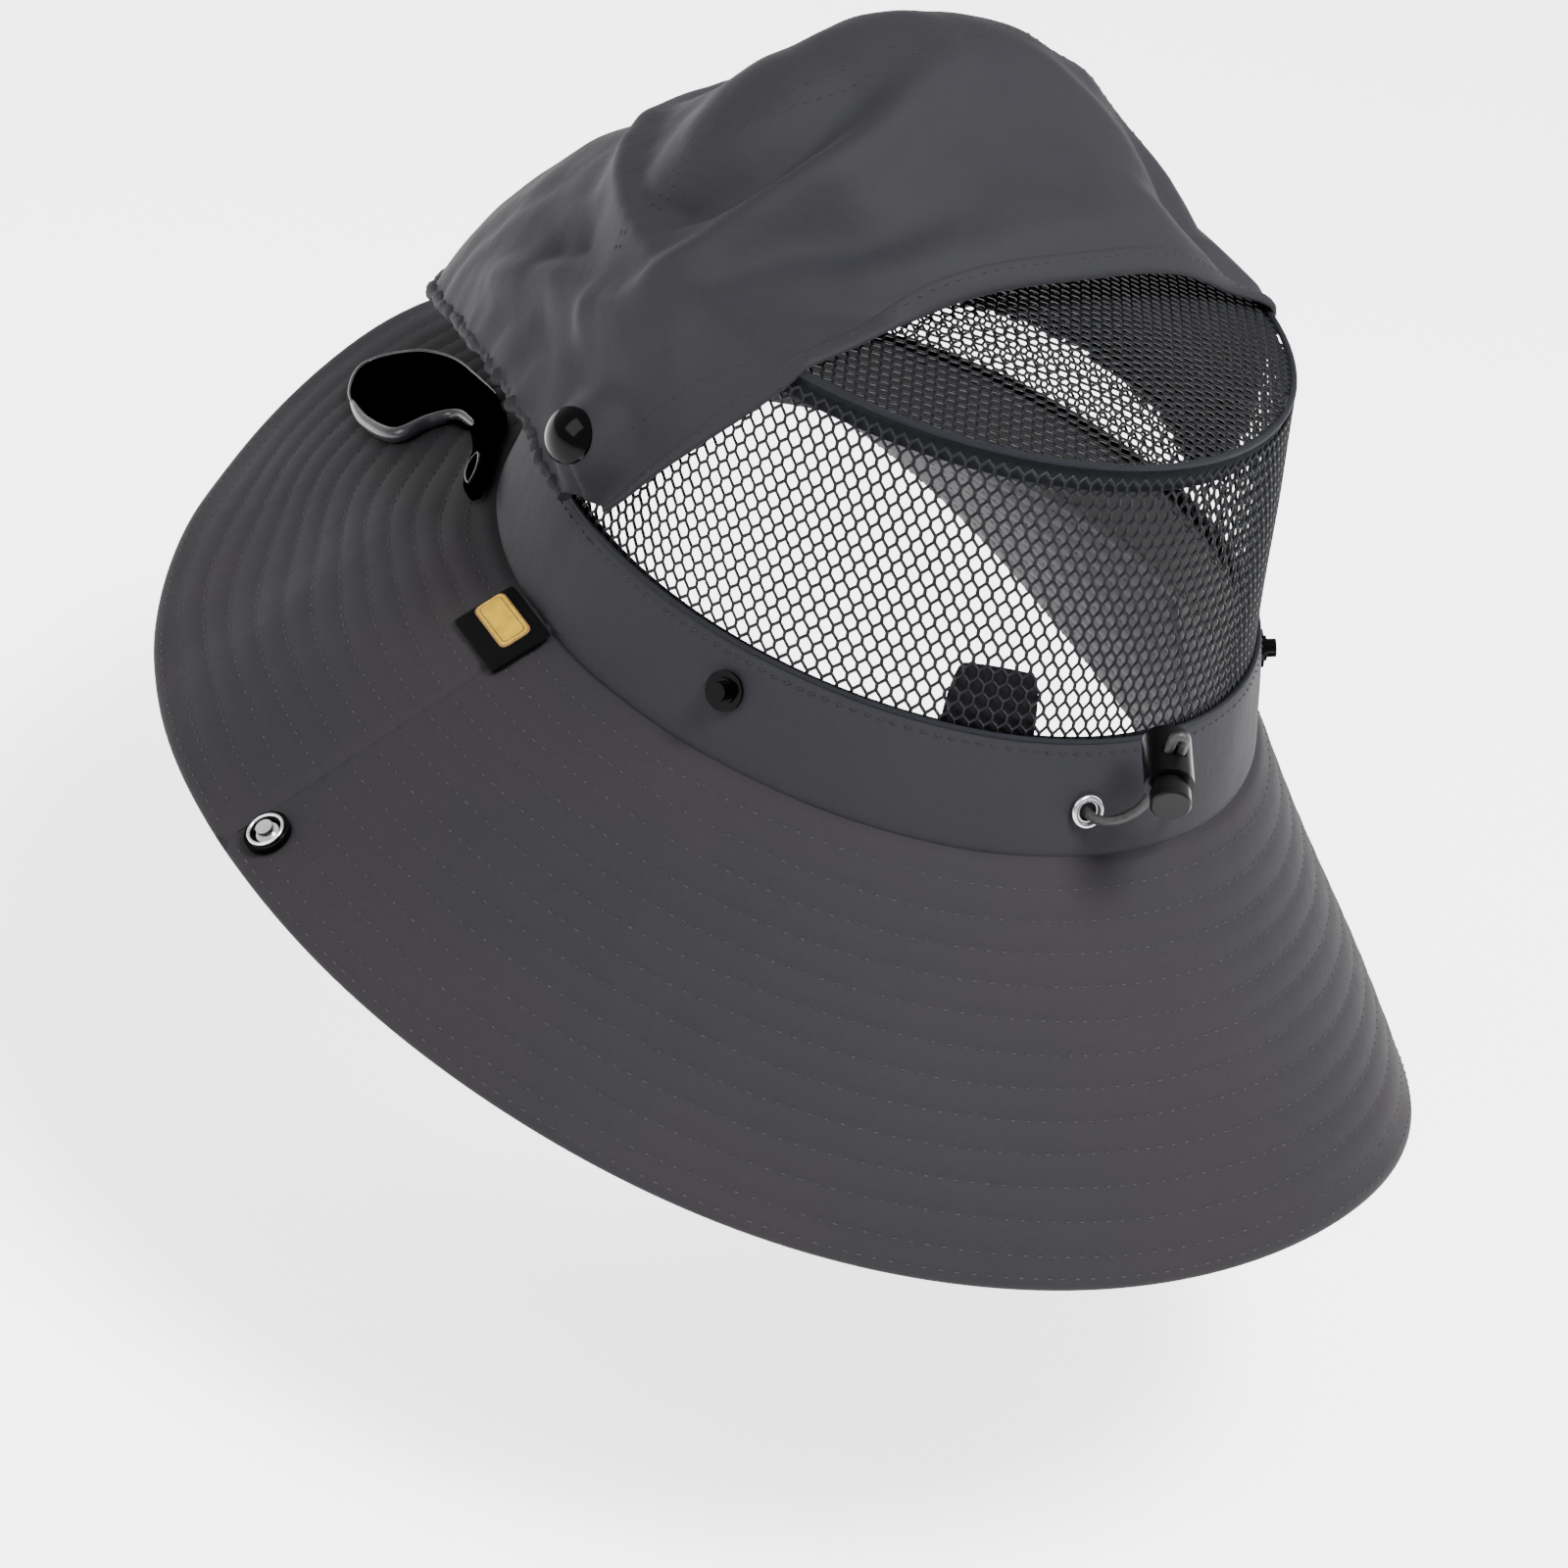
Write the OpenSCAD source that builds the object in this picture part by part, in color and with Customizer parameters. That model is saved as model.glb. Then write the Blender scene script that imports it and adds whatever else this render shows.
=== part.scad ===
// Wide-brimmed ventilated work hat: quilted brim, mesh crown, cloth crown cover with a
// fold-forward hood, snap fasteners, drawcord with a sprung cord lock, and a stowed strap.
// Millimetres. +Z up the crown, +Y to the wearer's back, +X to the wearer's left.
// Origin: centre of the head opening, in the plane of the seam between band and brim.

/* [Head opening and crown] */
// Half width of the head opening, ear to ear
head_half_w = 83; // [76:0.5:90]
// Half length of the head opening, brow to nape
head_half_l = 100; // [92:0.5:108]
// Height of the cloth band
band_h = 25; // [18:0.5:32]
// Size of the band's top edge compared with the opening
band_top_scale = 0.93; // [0.88:0.005:1]
// Height of the crown's top rim
rim_h = 83; // [70:1:95]
// Size of the crown's top rim compared with the opening
rim_scale = 0.86; // [0.8:0.005:0.95]
// How far the rim sits towards the brow
rim_forward = 5; // [0:0.5:10]
// Rise of the mesh top above the rim
top_rise = 9; // [4:0.5:20]
// Depth of the sweatband
sweat_h = 24; // [18:0.5:32]

/* [Brim] */
// Brim width at the brow
brim_front = 86; // [60:1:100]
// Brim width at the ears
brim_side = 83; // [60:1:100]
// Brim width at the nape
brim_back = 89; // [60:1:110]
// Mean droop of the brim, in degrees
droop_mean = 42; // [20:0.5:55]
// Extra droop at the nape, taken off at the brow
droop_back = 11; // [0:0.5:20]
// Extra droop at both ears, taken off at brow and nape
droop_ears = 8; // [-10:0.5:15]
// Extra droop on the wearer's right
droop_right = 9; // [0:0.5:15]
// Tighter fold of the drooping right side
droop_fold = 5; // [0:0.5:8]
// Wave of the brim round the nape
droop_wave = 2.4; // [0:0.1:5]
// Lift of the brim right at the brow
brow_lift = 8; // [0:0.5:14]

/* [Crown cover] */
// Height of the cover's top above the head opening
cover_top = 122; // [105:1:130]
// How far the cover reaches in front of the opening's centre
cover_reach = 158; // [120:1:170]
// Half width of the cover over the ears
cover_half_w = 88; // [84:0.5:96]
// Height of the hood's pivot corners
hood_pivot_h = 28; // [24:0.5:36]
// Cloth thickness used for the cover
cover_t = 0.8; // [0.5:0.1:1.5]

/* [Fasteners and cord] */
// Radius of a snap cap
cap_r = 6.2; // [5:0.1:8]
// Radius of the post of a brim stud
brim_post_r = 1.9; // [1.5:0.05:2.5]
// Height of the post of a brim stud
brim_post_h = 2; // [1:0.1:4]
// Radius of the post of a band stud
band_post_r = 2.1; // [1.5:0.05:2.5]
// Radius of the drawcord
cord_r = 1.1; // [0.8:0.05:1.6]
// Radius of the cord lock's barrel
lock_r = 5.2; // [4.5:0.1:7]
// Length of the cord lock's barrel
lock_l = 15; // [12:0.5:20]
// Travel of the cord lock's plunger
press_travel = 2; // [1:0.1:3]

/* [Output] */
// The node to draw, or all

/* [Hidden] */
$fn = 48;
cloth_col = [0.25, 0.25, 0.27];
black_col = [0.04, 0.04, 0.045];
steel_col = [0.75, 0.75, 0.77];
cols = 60;                 // steps round the head
ply_out = 1.15;            // outer face of the brim's cloth from the brim's middle surface
ply_in = 0.45;             // inner face of the brim's cloth
core_t = 0.35;             // half thickness of the brim's stiffener
seam_gap = 0.6;            // brim's inner edge outside the band's middle
side_gap = 0.12;           // half gap at the side seams, in degrees
band_t = 0.4;              // half thickness of the band
mesh_out = -0.6;           // mesh faces, inside the band
mesh_in = -1.2;
sweat_out = -2.9;
sweat_in = -3.5;
cord_z = 10.5;             // height of the drawcord's channel
cord_off = -1.6;           // drawcord's middle, inside the band
eye_left = 86;             // angles of the two eyelets
eye_right = 102;
stud_turn = 31;            // angle of the band studs behind the ears
stud_z = 15;
brim_stud_d = 74;          // brim studs' distance out from the seam
brim_stud_turn = 2.5;
stud_back_gap = 1.85;      // from the brim's middle to the top of a stud's back plate

// ---- the head's oval ----
function wall_scale(z) = z <= band_h ? 1 - (1 - band_top_scale) * z / band_h
  : band_top_scale - (band_top_scale - rim_scale) * (z - band_h) / (rim_h - band_h);
function wall_mid(z) = z <= band_h ? 0 : -rim_forward * (z - band_h) / (rim_h - band_h);
function wall_pt(t, z, off) = [(head_half_w * wall_scale(z) + off) * cos(t),
  (head_half_l * wall_scale(z) + off) * sin(t) + wall_mid(z), z];
function unit(v) = v / norm(v);
function out_dir(t) = unit([head_half_l * cos(t), head_half_w * sin(t), 0]);
// Straight out of the band's face, which leans in as it rises.
function band_dir(t) = unit(out_dir(t)
  + [0, 0, (1 - band_top_scale) * norm([head_half_w * cos(t), head_half_l * sin(t)]) / band_h]);

// ---- the brim's ruled surface: t round the head, d out from the seam, e above its middle ----
function from_brow(t) = min(abs(t + 90), abs(t - 270));
function droop(t) = droop_mean + droop_back * sin(t) + droop_ears * cos(2 * t) - droop_right * cos(t)
  - droop_fold * cos(3 * t) - droop_wave * sin(3 * t) - brow_lift * exp(-pow(from_brow(t) / 22, 2));
function brim_w(t) = brim_side + (brim_back - brim_front) / 2 * sin(t)
  + ((brim_back + brim_front) / 2 - brim_side) * pow(sin(t), 2);
function brim_up(t) = sin(droop(t)) * out_dir(t) + cos(droop(t)) * [0, 0, 1];
function brim_pt(t, d, e) = wall_pt(t, 0, 0)
  + d * (cos(droop(t)) * out_dir(t) - sin(droop(t)) * [0, 0, 1]) + e * brim_up(t);

// ---- the cover: a cloth skin measured out from the hood's pivot line (X, at hood_pivot_h) ----
// al: angle round the pivot line, 90 straight up, 180 towards the brow; b: angle from +X.
edge_al = 191;             // the gathered front edge
function hem_al(b) = 49 + 21 * pow(sin(b), 4);
function mid_r(al) = lookup(al, [[49, 70], [72, 81], [90, 90], [110, cover_top - 21], [130, cover_top - 19],
  [150, cover_top - 13], [170, cover_top + 6], [edge_al, cover_reach + 2]]);
function side_r(al) = cover_half_w - 10 + 6 * sin(min(max(al - 60, 0), 130) / 130 * 150);
function cover_n(al) = 2.15 + 0.45 * pow(max(al - 140, 0) / 51, 2);
function cover_dir(al, b) = [cos(b), sin(b) * cos(al), sin(b) * sin(al)];
function loose_r(al, b) = pow(pow(abs(cos(b)) / side_r(al), cover_n(al)) + pow(sin(b) / mid_r(al), cover_n(al)), -1 / cover_n(al));
// Radius that keeps the cloth outside the crown and its rim tape.
guard_n = 4.2;
function guard_r(d) = pow(pow(abs(d[0]) / (head_half_w - 1), guard_n) + pow(abs(d[1]) / (head_half_l - 3), guard_n)
  + pow(abs(d[2]) / (rim_h + top_rise - hood_pivot_h + 10), guard_n), -1 / guard_n);
function cover_at(al, b, off) = let (d = cover_dir(al, b), r = pow(pow(loose_r(al, b), 20) + pow(guard_r(d), 20), 1 / 20))
  [0, 0, hood_pivot_h] + (r + off) * d;
// A grid over the cover; a0 and a1 are angles round the pivot, -1 for the hem.
function cover_grid(a0, a1, nv, nu, off, b0, b1) = [for (i = [0:nv]) [for (j = [0:nu])
  let (f = i / nv, low = a0 < 0 ? hem_al(180 * j / nu) : a0, al = low + (a1 - low) * f,
    m = b0 + (b1 - b0) * min(max((al - 150) / 20, 0), 1))
  cover_at(al, m + (180 - 2 * m) * j / nu, off)]];

// ---- grids into solids ----
function quad(a, b, c, d, flip) = flip ? [[a, b, c], [a, c, d]] : [[c, b, a], [d, c, a]];
// A closed skin between two matching grids; wrap joins the last column to the first.
module shell(top, under, wrap = false, flip = false) {
  n = len(top);
  m = len(top[0]);
  last = wrap ? m - 1 : m - 2;
  function a(i, j) = i * m + j % m;
  function b(i, j) = n * m + i * m + j % m;
  polyhedron(
    points = [for (g = [top, under]) for (r = g) each r],
    faces = [
      for (i = [0:n - 2], j = [0:last]) each quad(a(i, j), a(i, j + 1), a(i + 1, j + 1), a(i + 1, j), flip),
      for (i = [0:n - 2], j = [0:last]) each quad(b(i, j), b(i, j + 1), b(i + 1, j + 1), b(i + 1, j), !flip),
      for (j = [0:last]) each quad(b(0, j), b(0, j + 1), a(0, j + 1), a(0, j), flip),
      for (j = [0:last]) each quad(a(n - 1, j), a(n - 1, j + 1), b(n - 1, j + 1), b(n - 1, j), flip),
      if (!wrap) for (i = [0:n - 2]) each quad(b(i + 1, 0), b(i, 0), a(i, 0), a(i + 1, 0), flip),
      if (!wrap) for (i = [0:n - 2]) each quad(b(i, m - 1), b(i + 1, m - 1), a(i + 1, m - 1), a(i, m - 1), flip)
    ],
    convexity = 8);
}
// A tube of the given radius along a list of points, carried along without twist.
module tube(path, r, sides = 8) {
  n = len(path);
  along = [for (i = [0:n - 1]) unit(path[min(i + 1, n - 1)] - path[max(i - 1, 0)])];
  first = unit(cross(along[0], abs(along[0][2]) > 0.9 ? [1, 0, 0] : [0, 0, 1]));
  side = [for (i = 0, s = first; i < n; i = i + 1, s = i < n ? unit(s - (s * along[i]) * along[i]) : s) s];
  ring = [for (i = [0:n - 1]) let (w = cross(side[i], along[i]))
    [for (k = [0:sides - 1]) path[i] + r * (cos(360 * k / sides) * side[i] + sin(360 * k / sides) * w)]];
  polyhedron(
    points = [for (r = ring) each r],
    faces = [
      [for (k = [0:sides - 1]) k],
      [for (k = [sides - 1:-1:0]) (n - 1) * sides + k],
      for (i = [0:n - 2], k = [0:sides - 1]) each quad(i * sides + k, i * sides + (k + 1) % sides,
        (i + 1) * sides + (k + 1) % sides, (i + 1) * sides + k, false)
    ],
    convexity = 10);
}
// Turns +Z to the given direction at the given point.
module aim(p, d) {
  translate(p) rotate([0, acos(d[2] / norm(d)), atan2(d[1], d[0])]) children();
}
module both_sides() {
  children();
  mirror([1, 0, 0]) children();
}

// ---- brim ----
module brim_ply(t0, t1, e0, e1) {
  n = cols / 2;
  ts = [for (j = [0:n]) t0 + side_gap + (t1 - t0 - 2 * side_gap) * j / n];
  shell([for (k = [0, 1]) [for (t = ts) brim_pt(t, seam_gap + (brim_w(t) - seam_gap) * k, e1)]],
    [for (k = [0, 1]) [for (t = ts) brim_pt(t, seam_gap + (brim_w(t) - seam_gap) * k, e0)]]);
}
module brim_front_upper() { color(cloth_col) brim_ply(-180, 0, ply_in, ply_out); }
module brim_rear_upper() { color(cloth_col) brim_ply(0, 180, ply_in, ply_out); }
module brim_front_under() color(cloth_col) brim_ply(-180, 0, -ply_out, -ply_in);
module brim_rear_under() color(cloth_col) brim_ply(0, 180, -ply_out, -ply_in);
module brim_stiffener() color([0.8, 0.8, 0.78]) {
  ts = [for (j = [0:cols - 1]) 360 * j / cols - 90];
  shell([for (d = [0, 1]) [for (t = ts) brim_pt(t, 1 + (brim_w(t) - 4) * d, core_t)]],
    [for (d = [0, 1]) [for (t = ts) brim_pt(t, 1 + (brim_w(t) - 4) * d, -core_t)]], wrap = true);
}

// ---- crown ----
module wall(z_list, off_out, off_in) {
  ts = [for (j = [0:cols - 1]) 360 * j / cols];
  shell([for (z = z_list) [for (t = ts) wall_pt(t, z, off_out)]],
    [for (z = z_list) [for (t = ts) wall_pt(t, z, off_in)]], wrap = true, flip = true);
}
eyelet_hole_r = 2.65;
module crown_band() color(cloth_col) difference() {
  wall([0.2, band_h], band_t, -band_t);
  for (t = [eye_left, eye_right]) aim(wall_pt(t, cord_z, 0), band_dir(t)) translate([0, 0, -2]) cylinder(r = eyelet_hole_r, h = 4);
}
module sweatband() color(black_col) wall([-0.5, sweat_h], sweat_out, sweat_in);
module crown_mesh_wall() color(black_col) wall([band_h - 5, band_h, rim_h - 0.2], mesh_out, mesh_in);
module crown_rim_tape() color(black_col) wall([rim_h - 2.5, rim_h, rim_h + 2.4], 0.55, -0.45);
function dome(t, k, z) = [(head_half_w * rim_scale - 0.8) * k * cos(t),
  (head_half_l * rim_scale - 0.8) * k * sin(t) - rim_forward, rim_h + z + top_rise * (1 - k * k)];
module crown_mesh_top() color(black_col) {
  ts = [for (j = [0:cols - 1]) 360 * j / cols];
  ks = [0.02, 0.3, 0.55, 0.78, 0.93, 1];
  shell([for (k = ks) [for (t = ts) dome(t, k, 0.65)]], [for (k = ks) [for (t = ts) dome(t, k, 0.05)]],
    wrap = true);
}

// ---- cover ----
hood_al = 112;             // where the hood's cloth ends under the fixed cover
front_al = 106;            // where the fixed cover starts
layer = 2.4;               // the fixed cover's outer face over the hood's
module cover_front() color(cloth_col) shell(cover_grid(front_al, edge_al, 14, 36, layer, 20, 6),
  cover_grid(front_al, edge_al, 14, 36, layer - cover_t, 20, 6), flip = true);
module cover_hood() color(cloth_col) shell(cover_grid(-1, hood_al, 8, 36, 0, 6, 6),
  cover_grid(-1, hood_al, 8, 36, -cover_t, 6, 6), flip = true);
module cover_elastic() color(black_col)
  tube([for (j = [0:36]) cover_at(edge_al - 2, 8 + 164 * j / 36, -0.3)], 1);

// ---- snap fasteners ----
cap_at = cover_at(98, 12.5, 2.9);
cap_dir = unit([0.9, 0.25, 0.36]);
socket_at = cover_at(98, 12.5, -3.8);
module snap_caps() color(black_col) both_sides() aim(cap_at, cap_dir) {
  cylinder(r = cap_r, h = 0.8);
  translate([0, 0, 0.8]) intersection() {
    translate([0, 0, -6.4]) sphere(r = 9);
    cylinder(r = cap_r, h = 4);
  }
}
module snap_sockets() color(black_col) both_sides() aim(socket_at, [1, 0, 0.12]) difference() {
  cylinder(r = 3.4, h = 2);
  translate([0, 0, -0.5]) cylinder(r = band_post_r + 0.1, h = 2);
}
module on_band(t, z) {
  both_sides() aim(wall_pt(t, z, 0), band_dir(t)) children();
}
module band_studs() color(black_col) on_band(stud_turn, stud_z) {
  translate([0, 0, 0.9]) cylinder(r = 4.4, h = 0.9);
  translate([0, 0, 1.8]) cylinder(r = 2.9, h = 0.8);
  translate([0, 0, 2.6]) cylinder(r = band_post_r, h = 2.2);
}
module band_stud_backs() color(steel_col) on_band(stud_turn, stud_z) translate([0, 0, -1.7]) cylinder(r = 3, h = 0.6);
module on_brim(t, d) {
  for (a = [t, 180 - t]) {
    aim(brim_pt(a, d, 0), brim_up(a)) children();
  }
}
module brim_stud_bases() color(black_col) on_brim(brim_stud_turn, brim_stud_d) translate([0, 0, 1.25]) difference() {
  cylinder(r = 5.2, h = 1.6);
  translate([0, 0, 0.5]) cylinder(r = 3.1, h = 2);
}
module brim_stud_rings() color(steel_col) on_brim(brim_stud_turn, brim_stud_d) translate([0, 0, 3.3])
  rotate_extrude() translate([3.9, 0]) circle(r = 0.38, $fn = 16);
module brim_studs() color(steel_col) on_brim(brim_stud_turn, brim_stud_d) {
  translate([0, 0, 1.8]) cylinder(r = 2.6, h = 0.5);
  translate([0, 0, 2.3]) cylinder(r = brim_post_r, h = brim_post_h);
}
module brim_stud_backs() color(black_col) on_brim(brim_stud_turn, brim_stud_d)
  translate([0, 0, -stud_back_gap - 1.1]) cylinder(r = 5, h = 1.1);

// ---- label and care tag ----
label_turn = -5;           // where the label is sewn in
label_out = 10.4;
label_w = 15;
label_l = 17.6;
badge_w = 7.4;
badge_l = 11.6;
module at_label() {
  aim(brim_pt(label_turn, label_out, 0), brim_up(label_turn)) rotate([0, 0, 8]) children();
}
module label_loop() color(black_col) at_label() translate([-7.2, -label_l / 2, 1.45]) cube([label_w, label_l, 0.9]);
module label_badge() color([0.85, 0.68, 0.25]) at_label()
  translate([-0.6, -1.6, 2.4]) linear_extrude(0.4) square([badge_w, badge_l], center = true);
module care_tag() color(black_col) {
  ts = [60, 66, 72, 78];
  shell([for (z = [19, 24, 38]) [for (t = ts) wall_pt(t, z, -1.65)]],
    [for (z = [19, 24, 38]) [for (t = ts) wall_pt(t, z, -2)]], flip = true);
}

// ---- cord lock: X along the barrel to the plunger, Z along the cord ----
lock_at = [-2.3, 108.8, 28.4];
lock_turn = 65;
lock_tilt = 15;
slot_x = 9.5;              // the cord's crossing, from the barrel's closed end
bore_r = 3.5;
wall_end = 1.5;
stem_gap = 0.06;
slot_gap = 0.3;
cut = 10;                  // half depth of a cut that goes right through
head_gap = 0.1;
strand_y = 1.25;           // half the distance between the cord's two strands
module at_lock() {
  translate(lock_at) rotate([0, lock_tilt, lock_turn]) translate([-slot_x, 0, 0]) children();
}
function from_lock(x, y, z) = lock_at
  + x * [cos(lock_tilt) * cos(lock_turn), cos(lock_tilt) * sin(lock_turn), -sin(lock_tilt)]
  + y * [-sin(lock_turn), cos(lock_turn), 0]
  + z * [sin(lock_tilt) * cos(lock_turn), sin(lock_tilt) * sin(lock_turn), cos(lock_tilt)];
// A through slot for the two strands, lengthened along the barrel by more.
module cord_slot(more) {
  r = cord_r + slot_gap;
  for (x = [-more, 0], y = [-strand_y, strand_y]) translate([x, y, 0]) cylinder(r = r, h = 2 * cut, center = true);
  translate([-more - r, -strand_y, -cut]) cube([more + 2 * r, 2 * strand_y, 2 * cut]);
  if (more > 0) translate([-more, -strand_y - r, -cut]) cube([more, 2 * (strand_y + r), 2 * cut]);
}
module lock_body() color(black_col) at_lock() difference() {
  union() {
    translate([3, 0, 0]) rotate([0, 90, 0]) cylinder(r = lock_r, h = lock_l - 3);
    intersection() {
      translate([lock_r + 1.6, 0, 0]) sphere(r = lock_r + 1.6);
      rotate([0, 90, 0]) cylinder(r = lock_r, h = 3.01);
    }
  }
  translate([wall_end, 0, 0]) rotate([0, 90, 0]) cylinder(r = bore_r, h = lock_l);
  translate([slot_x, 0, 0]) cord_slot(0);
}
plunger_back = 5.2;
spring_pocket_r = 2.95;    // pocket in the plunger's back that takes the spring
spring_pocket = 2.15;
module lock_plunger() color(black_col) at_lock() difference() {
  union() {
    translate([plunger_back, 0, 0]) rotate([0, 90, 0])
      cylinder(r = bore_r - stem_gap, h = lock_l + press_travel + head_gap - plunger_back);
    translate([lock_l + press_travel + head_gap, 0, 0]) rotate([0, 90, 0]) cylinder(r = 4.3, h = 3.2);
    translate([lock_l + press_travel + head_gap + 3.2, 0, 0]) rotate([0, 90, 0]) cylinder(r1 = 4.3, r2 = 3.9, h = 0.4);
  }
  translate([slot_x + press_travel, 0, 0]) cord_slot(press_travel);
  translate([plunger_back - 1, 0, 0]) rotate([0, 90, 0]) cylinder(r = spring_pocket_r, h = 1 + spring_pocket);
}
module lock_spring() color(steel_col) at_lock()
  tube([for (i = [0:60]) let (a = 18 * i) [1.85 + 3 * i / 60, 2.5 * cos(a), 2.5 * sin(a)]], 0.28, 6);

// ---- drawcord: round the head in the band's channel, out by one eyelet, up through the lock,
// over, down again and back in by the other ----
function chan(t) = wall_pt(t, cord_z, cord_off);
function bez(p, n) = [for (i = [0:n]) let (f = i / n, g = 1 - f)
  g * g * g * p[0] + 3 * g * g * f * p[1] + 3 * g * f * f * p[2] + f * f * f * p[3]];
straight = 9.5;            // straight cord each way from the lock's middle
loop_z = 8;
function strand(y, t, turn) = concat(
  [chan(t - 5 * turn), chan(t - 3 * turn), chan(t - turn), wall_pt(t, cord_z, 0)],
  bez([wall_pt(t, cord_z, 1.6), wall_pt(t, cord_z, 8), from_lock(0, y, -straight - 6), from_lock(0, y, -straight)], 7));
function backwards(v) = [for (i = [len(v) - 1:-1:0]) v[i]];
module drawcord() color(black_col) tube(concat(
  [for (t = [-89.5:7:eye_left - 8]) chan(t)],
  strand(-strand_y, eye_left, 1),
  [for (a = [180:-36:0]) from_lock(0, strand_y * cos(a), loop_z + strand_y * sin(a))],
  backwards(strand(strand_y, eye_right, -1)),
  [for (t = [eye_right + 8:7:269]) chan(t)]), cord_r);
module cord_eyelets() color(steel_col) for (t = [eye_left, eye_right])
  aim(wall_pt(t, cord_z, 0), band_dir(t)) difference() {
    union() {
      translate([0, 0, 1.2]) rotate_extrude() translate([3.1, 0]) circle(r = 0.7, $fn = 20);
      translate([0, 0, 0.2]) cylinder(r = 2.5, h = 1.1);
    }
    translate([0, 0, -3]) cylinder(r = 2.1, h = 8);
  }

// ---- stowed strap lying on the brim under the cover's edge ----
module strap_ball(t, d, e, r) {
  translate(brim_pt(t, d, e + ply_out + r + 0.15)) sphere(r = r, $fn = 24);
}
module strap_loop() color(black_col) hull() {
  strap_ball(-79, 68, 1, 3.4);
  strap_ball(-73, 71, 0.4, 3.4);
  strap_ball(-68, 60, 0.4, 3.4);
  strap_ball(-60, 40, 0.4, 3.4);
  strap_ball(-66, 26, 1, 3.4);
  strap_ball(-74, 45, 2, 3.4);
}
tail_route = [[-62.5, 17], [-54, 10], [-45, 7.5], [-37, 7.5]];
module strap_tail() color(black_col) for (i = [0:2]) hull() {
  strap_ball(tail_route[i][0], tail_route[i][1], 0.6, 1.8);
  strap_ball(tail_route[i + 1][0], tail_route[i + 1][1], 0.6, 1.8);
}
module strap_eyelet() color(steel_col)
  aim(brim_pt(-36, 7.5, 0), brim_up(-36))
    translate([0, 0, 5.9]) rotate_extrude() translate([2.6, 0]) circle(r = 0.4, $fn = 16);

brim_front_upper();
brim_rear_upper();
brim_front_under();
brim_rear_under();
brim_stiffener();
crown_band();
sweatband();
crown_mesh_wall();
crown_mesh_top();
crown_rim_tape();
cover_front();
cover_elastic();
cover_hood();
snap_caps();
snap_sockets();
band_studs();
band_stud_backs();
brim_stud_bases();
brim_stud_rings();
brim_studs();
brim_stud_backs();
label_loop();
label_badge();
care_tag();
drawcord();
cord_eyelets();
lock_body();
lock_plunger();
lock_spring();
strap_loop();
strap_tail();
strap_eyelet();
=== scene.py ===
"""Wide-brimmed ventilated work hat: quilted brim, net crown, cloth cover, snaps, drawcord and strap.

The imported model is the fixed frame. Shapes are worked out in millimetres and turned to metres when a
mesh is made. +Z is up the crown, +Y the wearer's back, +X the wearer's left.
"""
from __future__ import annotations

import sys

import logging
import math
from dataclasses import dataclass, field
from enum import Enum
from typing import Callable, Iterable, Sequence

import bmesh
import bpy
from mathutils import Matrix, Vector, noise
from mathutils.bvhtree import BVHTree


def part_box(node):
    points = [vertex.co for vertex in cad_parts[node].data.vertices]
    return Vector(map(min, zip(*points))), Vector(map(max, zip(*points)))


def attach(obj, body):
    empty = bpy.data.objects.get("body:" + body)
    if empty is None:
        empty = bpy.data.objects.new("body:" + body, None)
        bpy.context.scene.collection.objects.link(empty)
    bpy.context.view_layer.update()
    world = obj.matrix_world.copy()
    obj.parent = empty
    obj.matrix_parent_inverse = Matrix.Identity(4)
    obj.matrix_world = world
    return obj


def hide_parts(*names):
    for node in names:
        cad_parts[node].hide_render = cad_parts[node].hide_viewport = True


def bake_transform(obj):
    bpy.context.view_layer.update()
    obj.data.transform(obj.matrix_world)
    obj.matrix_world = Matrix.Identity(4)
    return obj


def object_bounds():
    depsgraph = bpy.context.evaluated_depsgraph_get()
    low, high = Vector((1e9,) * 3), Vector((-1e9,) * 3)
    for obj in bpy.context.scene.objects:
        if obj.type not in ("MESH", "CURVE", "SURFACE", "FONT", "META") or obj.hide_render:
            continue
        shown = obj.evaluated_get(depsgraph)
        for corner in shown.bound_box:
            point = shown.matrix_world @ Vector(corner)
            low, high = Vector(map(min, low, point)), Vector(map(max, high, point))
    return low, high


log = logging.getLogger("hat")

MM = 0.001
HAT, HOOD = "hat", "hood"
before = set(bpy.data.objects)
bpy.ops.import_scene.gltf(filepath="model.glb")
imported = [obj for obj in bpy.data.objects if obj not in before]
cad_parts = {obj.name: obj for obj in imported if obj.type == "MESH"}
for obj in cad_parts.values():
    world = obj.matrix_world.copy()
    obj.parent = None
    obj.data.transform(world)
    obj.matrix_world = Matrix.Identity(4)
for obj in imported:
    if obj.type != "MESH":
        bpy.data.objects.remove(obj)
CAD_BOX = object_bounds()

Colour = tuple[float, float, float]


# ---------------------------------------------------------------- small sums
def smooth(x: float) -> float:
    """Ease from 0 to 1."""
    x = min(max(x, 0.0), 1.0)
    return x * x * (3 - 2 * x)


def bell(x: float, width: float) -> float:
    """A soft hump of height 1 at x = 0."""
    return math.exp(-((x / width) ** 2))


def mix(a: float, b: float, share: float) -> float:
    """The value that share of the way from a to b."""
    return a + (b - a) * share


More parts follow.
